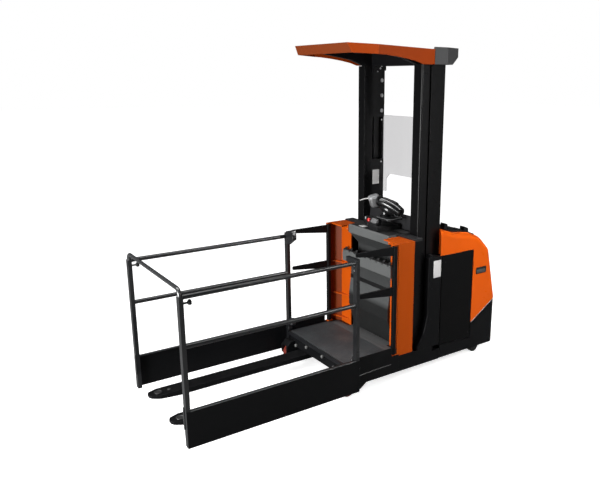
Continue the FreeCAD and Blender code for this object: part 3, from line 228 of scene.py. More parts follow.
# colours are linear, lengths in metres; grain and depth are the grain's scale and strength
# a painted shade and light by height goes from deep to pale between two heights, with the plain colour above
# top; a painted shade keeps only a share of colour on faces turned to the middle another painted shade gives
# the front face its own colour; shade is a painted shade, the colour of level faces and of all behind an x
finishes = {
    "black_steel": dict(
        color=(0.0042, 0.0044, 0.005), worn=(0.11, 0.11, 0.115), roughness=0.4, variation=0.5, wear=0.4,
        dust=0.025, grain=1100.0, depth=0.12, edge=0.0022, specular=0.16),
    "mast_steel": dict(
        color=(0.0035, 0.0035, 0.0038), worn=(0.1, 0.1, 0.105), roughness=0.3, variation=0.4, wear=0.35,
        dust=0.02, grain=700.0, depth=0.06, edge=0.0025, specular=0.2),
    "black_plastic": dict(
        color=(0.0045, 0.0047, 0.005), worn=(0.05, 0.05, 0.052), roughness=0.45, variation=0.3, wear=0.25,
        dust=0.03, grain=1500.0, depth=0.3, edge=0.003, specular=0.34),
    "grey_plastic": dict(
        color=(0.042, 0.044, 0.044), worn=(0.16, 0.16, 0.165), roughness=0.46, variation=0.3, wear=0.3,
        dust=0.15, grain=1300.0, depth=0.35, edge=0.003, specular=0.35,
        # painted shade low on the console and painted light higher up, set by height
        paintedHeightShade=dict(low=0.64, high=0.7, least=0.28, most=1.6, top=0.85)),
    "orange_cover": dict(
        color=(0.8, 0.112, 0.004), worn=(0.85, 0.3, 0.12), roughness=0.3, variation=0.1, wear=0.25,
        dust=0.01, grain=420.0, depth=0.05, edge=0.004, specular=0.16, coat=0.08),
    # brackets: painted shade on the faces turned to the middle
    "orange_steel": dict(
        color=(0.5, 0.074, 0.003), worn=(0.7, 0.26, 0.12), roughness=0.4, variation=0.12, wear=0.35,
        dust=0.02, grain=900.0, depth=0.12, edge=0.002, specular=0.12, inside=0.3),
    # the roof: painted shade in a duller brown on its front faces
    "orange_roof": dict(
        color=(0.36, 0.048, 0.003), worn=(0.6, 0.2, 0.1), roughness=0.45, variation=0.12, wear=0.3,
        dust=0.02, grain=900.0, depth=0.1, edge=0.003, specular=0.08, ahead=(0.185, 0.037, 0.0095)),
    "black_gloss": dict(
        color=(0.006, 0.006, 0.0065), worn=(0.06, 0.06, 0.062), roughness=0.24, variation=0.3, wear=0.3,
        dust=0.08, grain=1500.0, depth=0.12, edge=0.003, specular=0.6, coat=0.2),
    "battery": dict(
        color=(0.03, 0.031, 0.034), worn=(0.1, 0.1, 0.1), roughness=0.55, variation=0.3, wear=0.3, dust=0.3,
        grain=600.0, depth=0.3, edge=0.004, specular=0.4),
    "cast_iron": dict(
        color=(0.035, 0.034, 0.033), worn=(0.2, 0.19, 0.18), roughness=0.6, variation=0.5, wear=0.5,
        dust=0.25, grain=380.0, depth=0.7, edge=0.003, specular=0.4),
    "chrome": dict(
        color=(0.55, 0.56, 0.58), worn=(0.7, 0.7, 0.7), roughness=0.16, variation=0.12, wear=0.1, dust=0.05,
        grain=300.0, depth=0.03, edge=0.001, specular=0.5, metallic=1.0),
    "bright_steel": dict(
        color=(0.5, 0.5, 0.51), worn=(0.75, 0.75, 0.76), roughness=0.3, variation=0.25, wear=0.5, dust=0.05,
        grain=900.0, depth=0.2, edge=0.0006, specular=0.5, metallic=1.0),
    "pale_plate": dict(
        color=(0.66, 0.65, 0.64), worn=(0.3, 0.3, 0.3), roughness=0.4, variation=0.12, wear=0.3, dust=0.1,
        grain=1600.0, depth=0.1, edge=0.0005, specular=0.5),
    "handle_grey": dict(
        color=(0.13, 0.13, 0.132), worn=(0.4, 0.4, 0.4), roughness=0.42, variation=0.5, wear=0.5, dust=0.2,
        grain=1200.0, depth=0.4, edge=0.002, specular=0.5),
    "button_red": dict(
        color=(0.72, 0.02, 0.015), worn=(0.8, 0.3, 0.25), roughness=0.28, variation=0.1, wear=0.2,
        dust=0.03, grain=900.0, depth=0.05, edge=0.001, specular=0.5, coat=0.4),
    "rail_steel": dict(
        color=(0.0075, 0.008, 0.009), worn=(0.13, 0.13, 0.14), roughness=0.3, variation=0.25, wear=0.1,
        dust=0.02, grain=700.0, depth=0.04, edge=0.003, specular=0.7, coat=0.25),
    "light_plastic": dict(
        color=(0.1, 0.104, 0.103), worn=(0.22, 0.22, 0.22), roughness=0.46, variation=0.25, wear=0.3,
        dust=0.12, grain=1300.0, depth=0.35, edge=0.003, specular=0.4,
        shade=dict(behind=-0.66, color=(0.016, 0.016, 0.0175))),
    "slat_grey": dict(
        color=(0.02, 0.02, 0.021), worn=(0.2, 0.2, 0.2), roughness=0.4, variation=0.3, wear=0.3, dust=0.1,
        grain=900.0, depth=0.1, edge=0.002, specular=0.5),
    "bead_grey": dict(
        color=(0.05, 0.052, 0.053), worn=(0.2, 0.2, 0.21), roughness=0.34, variation=0.4, wear=0.3,
        dust=0.05, grain=700.0, depth=0.1, edge=0.002, specular=0.5),
    "stud_grey": dict(
        color=(0.1, 0.1, 0.098), worn=(0.3, 0.3, 0.3), roughness=0.35, variation=0.4, wear=0.5, dust=0.1,
        grain=700.0, depth=0.1, edge=0.002, specular=0.5),
    # the front bar: glossier steel, with a colour lighter than the rails' steel as painted sheen
    "bar_steel_sheen": dict(
        color=(0.028, 0.029, 0.03), worn=(0.16, 0.16, 0.17), roughness=0.26, variation=0.25, wear=0.1,
        dust=0.02, grain=700.0, depth=0.04, edge=0.003, specular=0.9, coat=0.5),
    "panel_black": dict(
        color=(0.0028, 0.0028, 0.003), worn=(0.04, 0.04, 0.04), roughness=0.5, variation=0.3, wear=0.25,
        dust=0.012, grain=1500.0, depth=0.2, edge=0.003, specular=0.12),
    "cap_light": dict(
        color=(0.32, 0.325, 0.33), worn=(0.5, 0.5, 0.5), roughness=0.36, variation=0.2, wear=0.3, dust=0.08,
        grain=1300.0, depth=0.15, edge=0.002, specular=0.5),
    "cap_grey": dict(
        color=(0.065, 0.065, 0.066), worn=(0.16, 0.16, 0.165), roughness=0.5, variation=0.25, wear=0.25,
        dust=0.12, grain=1200.0, depth=0.3, edge=0.004, specular=0.4),
}
faceLimits = dict(inward=-0.2, ahead=0.7, level=0.75)
coatRoughness = 0.12
materials = {}


def principled(name):
    material = bpy.data.materials.new(name)
    material.use_nodes = True
    return material, Tree(material.node_tree), material.node_tree.nodes["Principled BSDF"].inputs


# the painted, moulded or plated finish of that name; four finishes also carry painted shade and light: by
# height, on faces turned to the middle, on the front face, and on level faces and all behind an x
def finish(name):
    if name in materials:
        return materials[name]
    want = finishes[name]
    material, t, shader = principled(name)
    color = plain = (*want["color"], 1)

    def share(part):
        return (*(value * part for value in want["color"]), 1)

    # painted shade below one height and painted light above it, with the plain colour above top
    if "paintedHeightShade" in want:
        paintedHeightShade, height = want["paintedHeightShade"], t.axis(t.place(), "Z")
        panel = t.mix(t.spread(height, paintedHeightShade["low"], paintedHeightShade["high"]), share(paintedHeightShade["least"]), share(paintedHeightShade["most"]))
        color = t.mix(t.math("GREATER_THAN", height, paintedHeightShade["top"]), panel, plain)
    # painted shade: faces turned to the middle keep only a share of the colour
    if "inside" in want:
        turned = t.math("MULTIPLY", t.axis(t.place(), "Y"), t.axis(t.normal(), "Y"))
        color = t.mix(t.math("LESS_THAN", turned, faceLimits["inward"]), plain, share(want["inside"]))
    # painted shade: the front faces take their own darker colour
    if "ahead" in want:
        ahead = t.math("GREATER_THAN", t.axis(t.normal(), "X"), faceLimits["ahead"])
        color = t.mix(ahead, plain, (*want["ahead"], 1))
    if "shade" in want:
        behind = t.math("LESS_THAN", t.axis(t.place(), "X"), want["shade"]["behind"] + middle)
        level = t.math("GREATER_THAN", t.axis(t.normal(), "Z"), faceLimits["level"])
        color = t.mix(t.math("MAXIMUM", behind, level), plain, (*want["shade"]["color"], 1))
    group = t.add("ShaderNodeGroup", {
        "Color": color, "Worn Color": (*want["worn"], 1), "Roughness": want["roughness"],
        "Variation": want["variation"], "Wear": want["wear"], "Dust": want["dust"],
        "Grain Scale": want["grain"], "Grain Depth": want["depth"], "Edge Radius": want["edge"],
    }, node_tree=finishGroup)
    t.fill(shader, {
        "Base Color": group.outputs["Color"], "Roughness": group.outputs["Roughness"],
        "Normal": group.outputs["Normal"], "Specular IOR Level": want["specular"],
        "Metallic": want.get("metallic", 0.0), "Coat Weight": want.get("coat", 0.0),
        "Coat Roughness": coatRoughness})
    materials[name] = material
    return material


mat = dict(dark=(0.018, 0.021, 0.0235, 1), pale=(0.052, 0.058, 0.061, 1), stud=(0.085, 0.087, 0.09, 1),
           pathScale=4.5, path=(0.4, 0.66), pathShare=0.55, dustScale=60.0, dust=(0.4, 0.8), dustShare=0.3,
           studShare=0.35, roughness=(0.62, 0.48))


# studded rubber, paler where feet have worn it
def makeMat():
    material, t, shader = principled("mat")
    studs = t.add("ShaderNodeGroup", node_tree=treadGroup).outputs
    place = t.place()
    path = t.spread(t.noise(place, mat["pathScale"], 5.0, 0.6), *mat["path"])
    dust = t.spread(t.noise(place, mat["dustScale"], 4.0, 0.7), *mat["dust"])
    worn = t.math("ADD", t.math("MULTIPLY", path, mat["pathShare"]),
                  t.math("MULTIPLY", dust, mat["dustShare"]), clamp=True)
    onStud = t.math("MULTIPLY", studs["Studs"], mat["studShare"])
    t.fill(shader, {"Base Color": t.mix(onStud, t.mix(worn, mat["dark"], mat["pale"]), mat["stud"]),
                    "Roughness": t.spread(path, 0.0, 1.0, *mat["roughness"]), "Normal": studs["Normal"]})
    return material


clearSheet = dict(color=(0.6, 0.595, 0.6, 1), ior=1.2, hazeScale=7.0, haze=(0.3, 0.8), roughness=(0.02, 0.12),
                  scratchScale=(300.0, 300.0, 12.0), scratchStrength=0.03, scratchDepth=0.0005)


# clear plastic sheet, faintly scratched
def makeScreen():
    material, t, shader = principled("screen")
    place, want = t.place(), clearSheet
    haze = t.noise(place, want["hazeScale"], 5.0, 0.6)
    scratches = t.noise(t.stretched(place, want["scratchScale"]), 1.0, 2.0)
    t.fill(shader, {"Base Color": want["color"], "Transmission Weight": 1.0, "IOR": want["ior"],
                    "Roughness": t.spread(haze, *want["haze"], *want["roughness"]),
                    "Normal": t.bump(scratches, want["scratchStrength"], want["scratchDepth"])})
    return material


tyre = dict(hubShare=0.68, seam=0.001, smearScale=30.0, smeared=(0.35, 0.75, 0.0, 0.6), dirt=0.45,
            metal=((0.09, 0.09, 0.092, 1), (0.03, 0.029, 0.028, 1)), metallic=0.7,
            roughness=(0.3, 0.8, 0.4, 0.7), rings=900.0, ringShare=0.25, grainScale=500.0, strength=0.2,
            depth=0.001, edge=0.005)


# a bonded tyre round a metal hub, told apart by the distance from the axle
def makeTyre(node, color):
    low, high = corners(node)
    hubRadius = (high.z - low.z) / 2 * tyre["hubShare"]
    material, t, shader = principled(node)
    place = t.place()
    off = t.vector("SUBTRACT", {0: place, 1: (low + high) / 2})
    away = t.vector("LENGTH", {0: t.vector("MULTIPLY", {0: off, 1: (1.0, 0.0, 1.0)})}, "Value")
    hub = t.spread(away, hubRadius + tyre["seam"], hubRadius - tyre["seam"])
    smear = t.noise(place, tyre["smearScale"], 5.0, 0.65)
    dirty = (*(value * tyre["dirt"] for value in color), 1)
    rubber = t.mix(t.spread(smear, *tyre["smeared"]), (*color, 1), dirty)
    rings = t.math("MULTIPLY", t.math("SINE", t.math("MULTIPLY", away, tyre["rings"])), tyre["ringShare"])
    height = t.math("ADD", rings, t.noise(place, tyre["grainScale"], 3.0))
    t.fill(shader, {"Base Color": t.mix(hub, rubber, t.mix(smear, *tyre["metal"])),
                    "Metallic": t.math("MULTIPLY", hub, tyre["metallic"]),
                    "Roughness": t.spread(smear, *tyre["roughness"]),
                    "Normal": t.bump(height, tyre["strength"], tyre["depth"], t.rounded(tyre["edge"]))})
    return material


def wear(node, material):
    for place in nodes[node].material_slots:
        place.material = material


nodeFinishes = {
    "outer_mast": "mast_steel", "inner_mast": "mast_steel", "cab_pillar_left": "mast_steel",
    "cab_pillar_right": "mast_steel", "chassis_frame": "black_steel", "lift_cylinders": "black_steel",
    "lift_rods": "chrome", "drive_unit": "cast_iron", "drive_motor": "cast_iron",
    "castor_fork_left": "cast_iron", "castor_fork_right": "cast_iron", "battery_pack": "battery",
    "battery_panel_left": "panel_black", "battery_panel_right": "panel_black",
    "mast_cover_left": "black_steel", "mast_cover_right": "black_steel", "motor_hood": "orange_cover",
    "hood_caps": "black_plastic", "rear_skirt": "black_steel", "mast_top_cover": "cap_grey",
    "platform": "black_steel", "console": "grey_plastic", "console_top": "light_plastic",
    "console_tray": "light_plastic", "side_bracket_left": "orange_steel",
    "side_bracket_right": "orange_steel", "side_gate_left": "black_steel",
    "side_gate_right": "black_steel", "overhead_guard": "orange_roof", "guard_arms": "black_steel",
    "guard_frame_left": "rail_steel", "guard_frame_right": "rail_steel", "front_bar": "bar_steel_sheen",
    "toe_board_left": "black_steel", "toe_board_right": "black_steel", "fork_left": "black_steel",
    "fork_right": "black_steel", "control_unit": "black_plastic", "steering_handle": "handle_grey",
}
redTread, blackTread = (0.2, 0.022, 0.012), (0.02, 0.02, 0.021)
treads = {"load_wheel_left": redTread, "load_wheel_right": redTread, "drive_wheel": blackTread,
          "castor_wheel_left": blackTread, "castor_wheel_right": blackTread}
for node, kind in nodeFinishes.items():
    wear(node, finish(kind))
for node, color in treads.items():
    wear(node, makeTyre(node, color))
wear("floor_mat", makeMat())
wear("screen", makeScreen())
print("finishes set", len(materials))


# the finished mesh as a piece that rides on a body, in the finish of that name
def addPiece(name, bm, kind, body="cab", sharp=32):
    bmesh.ops.recalc_face_normals(bm, faces=bm.faces)
    mesh = bpy.data.meshes.new(name)
    bm.to_mesh(mesh)
    bm.free()
    return pieceFrom(name, mesh, kind, body, sharp)


def pieceFrom(name, mesh, kind, body, sharp=32):
    mesh.materials.clear()
    mesh.materials.append(finish(kind) if isinstance(kind, str) else kind)
    piece = bpy.data.objects.new(name, mesh)
    scene.collection.objects.link(piece)
    for face in mesh.polygons:
        face.use_smooth = True
    mesh.set_sharp_from_angle(angle=math.radians(sharp))
    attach(piece, body)
    return piece


# adds a slab: outline in its own XY plane, rising along its Z to a softened upper edge
def prism(bm, outline, thick, place, edge=0.0, steps=2):
    before = set(bm.verts)
    lower = [bm.verts.new((x, y, 0)) for x, y in outline]
    upper = [bm.verts.new((x, y, thick)) for x, y in outline]
    bm.faces.new(list(reversed(lower)))
    top = bm.faces.new(upper)
    for k in range(len(outline)):
        n = (k + 1) % len(outline)
        bm.faces.new((lower[k], lower[n], upper[n], upper[k]))
    if edge:
        bmesh.ops.bevel(bm, geom=list(top.edges), offset=edge, segments=steps, profile=0.6, affect="EDGES")
    bmesh.ops.transform(bm, matrix=place, verts=[v for v in bm.verts if v not in before])


# the outline of a rectangle with rounded corners, round the origin
def roundedBox(width, height, radius, steps=5):
    points = []
    for turn, (sx, sy) in enumerate(((1, 1), (-1, 1), (-1, -1), (1, -1))):
        for k in range(steps + 1):
            angle = math.radians(90 * turn + 90 * k / steps)
            points.append((sx * (width / 2 - radius) + radius * math.cos(angle),
                           sy * (height / 2 - radius) + radius * math.sin(angle)))
    return points


# faces from ring to ring, closed at both ends
def skin(bm, rings):
    steps = len(rings[0])
    for low, high in zip(rings, rings[1:]):
        for k in range(steps):
            n = (k + 1) % steps
            bm.faces.new((low[k], low[n], high[n], high[k]))
    bm.faces.new(list(reversed(rings[0])))
    bm.faces.new(rings[-1])


# adds a turned body from (radius, height) pairs; lobes make its side wavy for a hand grip
def revolve(bm, profile, place, steps=28, lobes=0, depth=0.0):
    rings = []
    for radius, height in profile:
        ring = []
        for k in range(steps):
            angle = 2 * math.pi * k / steps
            swell = 1 + depth * math.cos(lobes * angle) * min(1, radius / 0.01) if lobes else 1
            r = radius * swell
            ring.append(bm.verts.new((r * math.cos(angle), r * math.sin(angle), height)))
        rings.append(ring)
    skin(bm, rings)
    bmesh.ops.transform(bm, matrix=place, verts=[v for ring in rings for v in ring])


# adds a round or flattened bar along points
def tube(bm, points, radius, steps=12, flat=1.0):
    rings = []
    for k, point in enumerate(points):
        before, after = points[max(0, k - 1)], points[min(len(points) - 1, k + 1)]
        along = (after - before).normalized()
        side = along.cross(Vector(up))
        side = side.normalized() if side.length > 1e-4 else Vector(left)
        over = side.cross(along).normalized()
        r = radius[k] if isinstance(radius, list) else radius
        ring = []
        for n in range(steps):
            angle = 2 * math.pi * n / steps
            ring.append(bm.verts.new(point + side * math.cos(angle) * r + over * math.sin(angle) * r * flat))
        rings.append(ring)
    skin(bm, rings)


# adds a rounded block, from a ball (power 1) to nearly a box (power 0.2)
def pebble(bm, place, sizes, power, steps=32, levels=18):
    def shaped(value):
        return math.copysign(abs(value) ** power, value)

    rings = []
    for row in range(1, levels):
        rise = -math.pi / 2 + math.pi * row / levels
        ring = []
        for k in range(steps):
            angle = 2 * math.pi * k / steps
            x = sizes[0] * shaped(math.cos(rise)) * shaped(math.cos(angle))
            y = sizes[1] * shaped(math.cos(rise)) * shaped(math.sin(angle))
            ring.append(bm.verts.new(place @ Vector((x, y, sizes[2] * shaped(math.sin(rise))))))
        rings.append(ring)
    skin(bm, rings)


# points on a soft curve through the given spots
def smoothPath(spots, steps):
    points = [spot(*p) for p in spots]
    ends = [points[0] * 2 - points[1]] + points + [points[-1] * 2 - points[-2]]
    path = []
    for k in range(1, len(ends) - 2):
        a, b, c, d = ends[k - 1:k + 3]
        for n in range(steps):
            f = n / steps
            path.append(0.5 * (2 * b + (c - a) * f + (2 * a - 5 * b + 4 * c - d) * f * f
                               + (3 * b - a - 3 * c + d) * f * f * f))
    return path + [points[-1]]


# one piece that is a single slab with rounded corners; size is its width, height and corner radius
def slab(name, at, normal, size, thick, edge, kind, slot=None, body="cab", top=up, sign=1, lift=0.0, corner=5,
         steps=2, sharp=32):
    bm = bmesh.new()
    prism(bm, roundedBox(*size, corner), thick, where(at, normal, top, sign, lift), edge, steps)
    return addPiece(name, bm, kind, body, sharp)


# one piece that is a single turned body
def turned(name, at, normal, profile, steps, kind, slot=None, sign=1, lobes=0, depth=0.0, sharp=40):
    bm = bmesh.new()
    revolve(bm, profile, where(at, normal, sign=sign), steps, lobes, depth)
    return addPiece(name, bm, kind, sharp=sharp)


# one piece that is a single bar
def rod(name, points, radius, kind, body="cab", steps=10, flat=1.0, sharp=50):
    bm = bmesh.new()
    tube(bm, points, radius, steps, flat)
    return addPiece(name, bm, kind, body, sharp)


# one piece that is a single rounded block
def block(name, at, normal, sizes, power, kind, slot="grey_plastic", lift=(0, 0, 0)):
    bm = bmesh.new()
    pebble(bm, where(at, normal) @ Matrix.Translation(lift), sizes, power)
    return addPiece(name, bm, kind, sharp=60)


# sets one shape on every point, turned to the point's facing and by a seeded turn about it
def scatterGroup():
    tree = bpy.data.node_groups.new("scatter", "GeometryNodeTree")
    for label, kind, value in (("Points", "Geometry", None), ("Shape", "Object", None), ("Seed", "Int", 3),
                               ("Turn", "Float", 6.28), ("Finish", "Material", None)):
        socket = tree.interface.new_socket(label, in_out="INPUT", socket_type=f"NodeSocket{kind}")
        if value is not None:
            socket.default_value = value
    tree.interface.new_socket("Geometry", in_out="OUTPUT", socket_type="NodeSocketGeometry")
    t = Tree(tree)
    given, out = t.add("NodeGroupInput").outputs, t.add("NodeGroupOutput").inputs
    shape = t.add("GeometryNodeObjectInfo", {"Object": given["Shape"]}).outputs["Geometry"]
    way = t.add("GeometryNodeInputNamedAttribute", {"Name": "facing"}, data_type="FLOAT_VECTOR")
    size = t.add("GeometryNodeInputNamedAttribute", {"Name": "size"}, data_type="FLOAT")
    aim = t.add("FunctionNodeAlignRotationToVector", {"Vector": way.outputs["Attribute"]}, axis="Z")
    spin = t.add("FunctionNodeRandomValue", {"Seed": given["Seed"], 3: given["Turn"]}, data_type="FLOAT")
    placed = t.add("GeometryNodeInstanceOnPoints", {
        "Points": given["Points"], "Instance": shape, "Rotation": aim.outputs["Rotation"],
        "Scale": size.outputs["Attribute"]}).outputs["Instances"]
    about = t.add("ShaderNodeCombineXYZ", {"Z": spin.outputs[1]}).outputs["Vector"]
    spun = t.add("GeometryNodeRotateInstances", {"Instances": placed, "Rotation": about}).outputs["Instances"]
    real = t.add("GeometryNodeRealizeInstances", {"Geometry": spun}).outputs["Geometry"]
    painted = t.add("GeometryNodeSetMaterial", {"Geometry": real, "Material": given["Finish"]})
    t.fill(out, {"Geometry": painted.outputs["Geometry"]})
    return tree


scatterTree = scatterGroup()


# one piece made of a shape at every (point, facing, size)
def scatter(name, places, shape, kind, seed, slot=None, body="cab", turn=6.28):
    cloud = bpy.data.meshes.new(name + "-points")
    cloud.from_pydata([point for point, _, _ in places], [], [])
    cloud.attributes.new("facing", "FLOAT_VECTOR", "POINT")
    cloud.attributes.new("size", "FLOAT", "POINT")
    facings, sizes = cloud.attributes["facing"], cloud.attributes["size"]
    for k, (_, normal, scale) in enumerate(places):
        facings.data[k].vector = normal
        sizes.data[k].value = scale
    carrier = bpy.data.objects.new(name + "-carrier", cloud)
    scene.collection.objects.link(carrier)
    modifier = carrier.modifiers.new("scatter", "NODES")
    modifier.node_group = scatterTree
    values = {"Shape": shape, "Seed": seed, "Turn": turn, "Finish": finish(kind)}
    for item in scatterTree.interface.items_tree:
        if item.in_out == "INPUT" and item.name in values:
            modifier[item.identifier] = values[item.name]
    bpy.context.view_layer.update()
    made = carrier.evaluated_get(bpy.context.evaluated_depsgraph_get())
    mesh = bpy.data.meshes.new_from_object(made)
    bpy.data.objects.remove(carrier)
    mesh.name = name
    return pieceFrom(name, mesh, kind, body)


def shapeFrom(bm):
    bmesh.ops.recalc_face_normals(bm, faces=bm.faces)
    mesh = bpy.data.meshes.new("shape")
    bm.to_mesh(mesh)
    bm.free()
    shape = bpy.data.objects.new("shape", mesh)
    scene.collection.objects.link(shape)
    return shape


boltHead = dict(washer=[(0.0122, 0), (0.0122, 0.0016), (0.0112, 0.0024), (0.0095, 0.0025)], steps=24,
                corner=0.0088, tall=0.0062, seat=0.0023, edge=0.0011)
socketHead = dict(profile=[(0.0082, 0), (0.0082, 0.0052), (0.0074, 0.006), (0.0044, 0.006), (0.004, 0.0058),
                           (0.004, 0.0032)], steps=24)
springClip = dict(foot=[(-0.021, 0), (0.021, 0), (0.021, 0.02), (-0.021, 0.02)], footThick=0.004,
                  footBack=0.01,
                  tongue=[(0, 0), (0.006, 0), (0.009, 0.016), (0.021, 0.03), (0.019, 0.034), (0.004, 0.02)],
                  tongueWide=0.03, edge=0.001)

bm = bmesh.new()  # a washer and a chamfered hexagon head
revolve(bm, boltHead["washer"], Matrix.Identity(4), boltHead["steps"])
turns = [math.radians(60 * k) for k in range(6)]
hexagon = [(boltHead["corner"] * math.cos(turn), boltHead["corner"] * math.sin(turn)) for turn in turns]
prism(bm, hexagon, boltHead["tall"], Matrix.Translation((0, 0, boltHead["seat"])), boltHead["edge"])
bolt = shapeFrom(bm)
bm = bmesh.new()  # a round head, dished for its key
revolve(bm, socketHead["profile"], Matrix.Identity(4), socketHead["steps"])
socket = shapeFrom(bm)
bm = bmesh.new()  # a foot, a bent tongue and its rolled lip
prism(bm, springClip["foot"], springClip["footThick"], Matrix.Translation((0, -springClip["footBack"], 0)),
      springClip["edge"])
prism(bm, springClip["tongue"], springClip["tongueWide"],
      facing((0, 0, 0), left) @ Matrix.Translation((0, 0, -springClip["tongueWide"] / 2)), springClip["edge"])
clip = shapeFrom(bm)

# rows of x, y, heights, facing and size; the paired ones stand on both sides
fasteners = {
    "cab_bolts": dict(
        shape=bolt, kind="bright_steel", slot="chrome", seed=3,
        paired=[(-1.012, plateInside, (2.812, 2.664, 2.513), right, 1.6),
                (-1.012, plateInside, (2.42, 1.99, 1.2, 0.8, 0.4), right, 0.7),
                (-0.6, 0.352, (0.956, 0.532), front, 0.55), (-0.561, 0.345, (1.332,), front, 0.5)],
        single=[(postDepth / 2, postSide - 0.036, (1.259, 1.214), front, 0.75),
                (-0.99, -plateInside, (2.93,), left, 0.8), (-0.955, -plateInside, (2.9,), left, 0.6)]),
    "body_screws": dict(
        shape=socket, kind="black_steel", body="truck", seed=5,
        paired=[(-0.93, coverSide, (0.55, 0.86), left, 0.6), (-1.09, bodySide, (0.3,), left, 0.6),
                (-1.45, bodySide, (0.29,), left, 0.6), (-1.1, bodySide, (1.1,), left, 0.6)], single=[]),
    "bracket_screws": dict(
        shape=socket, kind="orange_steel", seed=7,
        paired=[(-0.66, bracketSide, (1.32, 0.32), left, 0.5)], single=[]),
    "bin_clips": dict(
        shape=clip, kind="black_plastic", turn=0.0, seed=11,
        paired=[], single=[(-0.55, -0.36 + 0.09 * k, (1.105,), up, 1.0) for k in range(9)]),
}


def rowPlaces(table):
    return [(spot(x, y, z), normal, size) for x, y, heights, normal, size in table for z in heights]


for name, want in fasteners.items():
    places = rowPlaces(want.pop("paired"))
    places += [(Vector((p.x, -p.y, p.z)), (n[0], -n[1], n[2]), size) for p, n, size in places]
    scatter(name, places + rowPlaces(want.pop("single")), **want)
for shape in (bolt, socket, clip):
    scene.collection.objects.unlink(shape)
print("fasteners set", len(fasteners))

# blank plates on both sides
labelSheet = dict(thick=0.0015, edge=0.0005, kind="pale_plate", slot="grey_plastic")
sidePlates = {
    "cover_label": dict(at=(-0.99, coverSide, 1.05), size=(0.095, 0.17, 0.008), **labelSheet),
    "hood_badge": dict(at=(-1.6, bodySide, 0.935), size=(0.15, 0.07, 0.012), thick=0.003, edge=0.0012,
                       kind="black_plastic"),
    "hood_badge_face": dict(at=(-1.6, bodySide + 0.0028, 0.928), size=(0.125, 0.036, 0.006), thick=0.0014,
                            edge=0.0005, kind="cap_grey", slot="grey_plastic"),
}
for side, sign in sides:
    for name, want in sidePlates.items():
        slab(f"{name}_{side}", normal=left, sign=sign, body="truck", **want)

labels = {
    "pillar_label": dict(at=(-0.945, -plateInside, 1.835), normal=left, size=(0.085, 0.15, 0.006)),
    "worktop_label": dict(at=(-0.632, -0.16, worktop), normal=up, top=left, size=(0.06, 0.09, 0.004)),
}
for name, want in labels.items():
    slab(name, **want, **labelSheet)

hoodTrim = dict(line=dict(start=1.487, low=0.391, high=0.613, corner=0.06), radius=0.0042)


# the seam between hood and skirt, round the tail
def trimLine(start, low, high, corner):
    def rise(x):
        return low + (high - low) * (x - start) / (tailEnd - start)

    line, straightSteps, cornerSteps = [], 12, 8
    for k in range(straightSteps + 1):
        x = start + (tailEnd - corner - start) * k / straightSteps
        line.append(spot(-x, bodySide, rise(x)))
    for k in range(1, cornerSteps + 1):
        angle = math.pi / 2 * k / cornerSteps
        x = tailEnd - corner + corner * math.sin(angle)
        line.append(spot(-x, bodySide - corner + corner * math.cos(angle), rise(x)))
    return line + [Vector((p.x, -p.y, p.z)) for p in reversed(line)]


rod("hood_trim", trimLine(**hoodTrim["line"]), hoodTrim["radius"], "bright_steel", "truck",
    sharp=32)

pads = {  # with full round ends
    "worktop_pad": dict(size=(0.12, 0.26, 0.059), thick=0.006, edge=0.0042, kind="black_plastic"),
    "worktop_pad_inlay": dict(size=(0.07, 0.2, 0.034), thick=0.002, edge=0.0014, kind="cap_grey",
                              slot="black_plastic"),
}
padTop = worktop
for name, want in pads.items():
    slab(name, at=(-0.789, 0.246, padTop), normal=up, top=left, corner=10, steps=4, **want)
    padTop += want["thick"]
print("plates and trim set")

gateLatch = dict(outline=[(-0.012, -0.105), (0.006, -0.105), (0.095, -0.048), (0.124, -0.034), (0.124, 0.02),
                          (0.108, 0.055), (0.09, 0.062), (0.03, 0.042), (-0.012, 0.034)],
                 thick=0.046, edge=0.006, behind=0.018, inset=0.062, height=1.305)
bm = bmesh.new()
latchPlace = where((-gateLatch["behind"], gateLatch["inset"] - boardSide, gateLatch["height"]), front)
prism(bm, gateLatch["outline"], gateLatch["thick"], latchPlace, gateLatch["edge"])
addPiece("gate_latch", bm, "rail_steel")

barKnob = dict(at=(cageEnd - 0.0755, 0.602, 1.232), steps=40, lobes=5, depth=0.1,
               profile=[(0.005, -0.022), (0.005, 0.0), (0.009, 0.0), (0.011, 0.004), (0.019, 0.006),
                        (0.021, 0.01), (0.021, 0.02), (0.018, 0.025), (0.006, 0.027)])
postCollar = dict(at=(0, 0.601, 0.29), size=(0.047, 0.062, 0.008), thick=0.02, edge=0.004)
boardClip = dict(at=(1.592, 0.584, 0.312), size=(0.022, 0.19, 0.009), thick=0.006, edge=0.002)
beads = {
    "board_bead": dict(start=0.025, step=0.0383, count=41, side=0.6225, height=0.3735, rise=0.0,
                       radius=0.0095, steps=12, flat=0.8, kind="bead_grey"),
    "skirt_bead": dict(start=-0.05, step=-0.0185, count=21, side=platformSide - 0.001, height=0.203,
                       rise=0.0005, radius=0.0042, steps=10, flat=1.0, kind="rail_steel"),
}
forkCap = dict(side=0.265, height=0.15, turns=(  # distance from the tip, steps, profile
    (0.085, 40, [(0.036, -0.002), (0.0345, 0.002), (0.032, 0.0034), (0.027, 0.003), (0.026, 0.0005),
                 (0.004, 0.0006)]),
    (0.185, 28, [(0.017, -0.002), (0.017, 0.003), (0.014, 0.005), (0.006, 0.006)])))
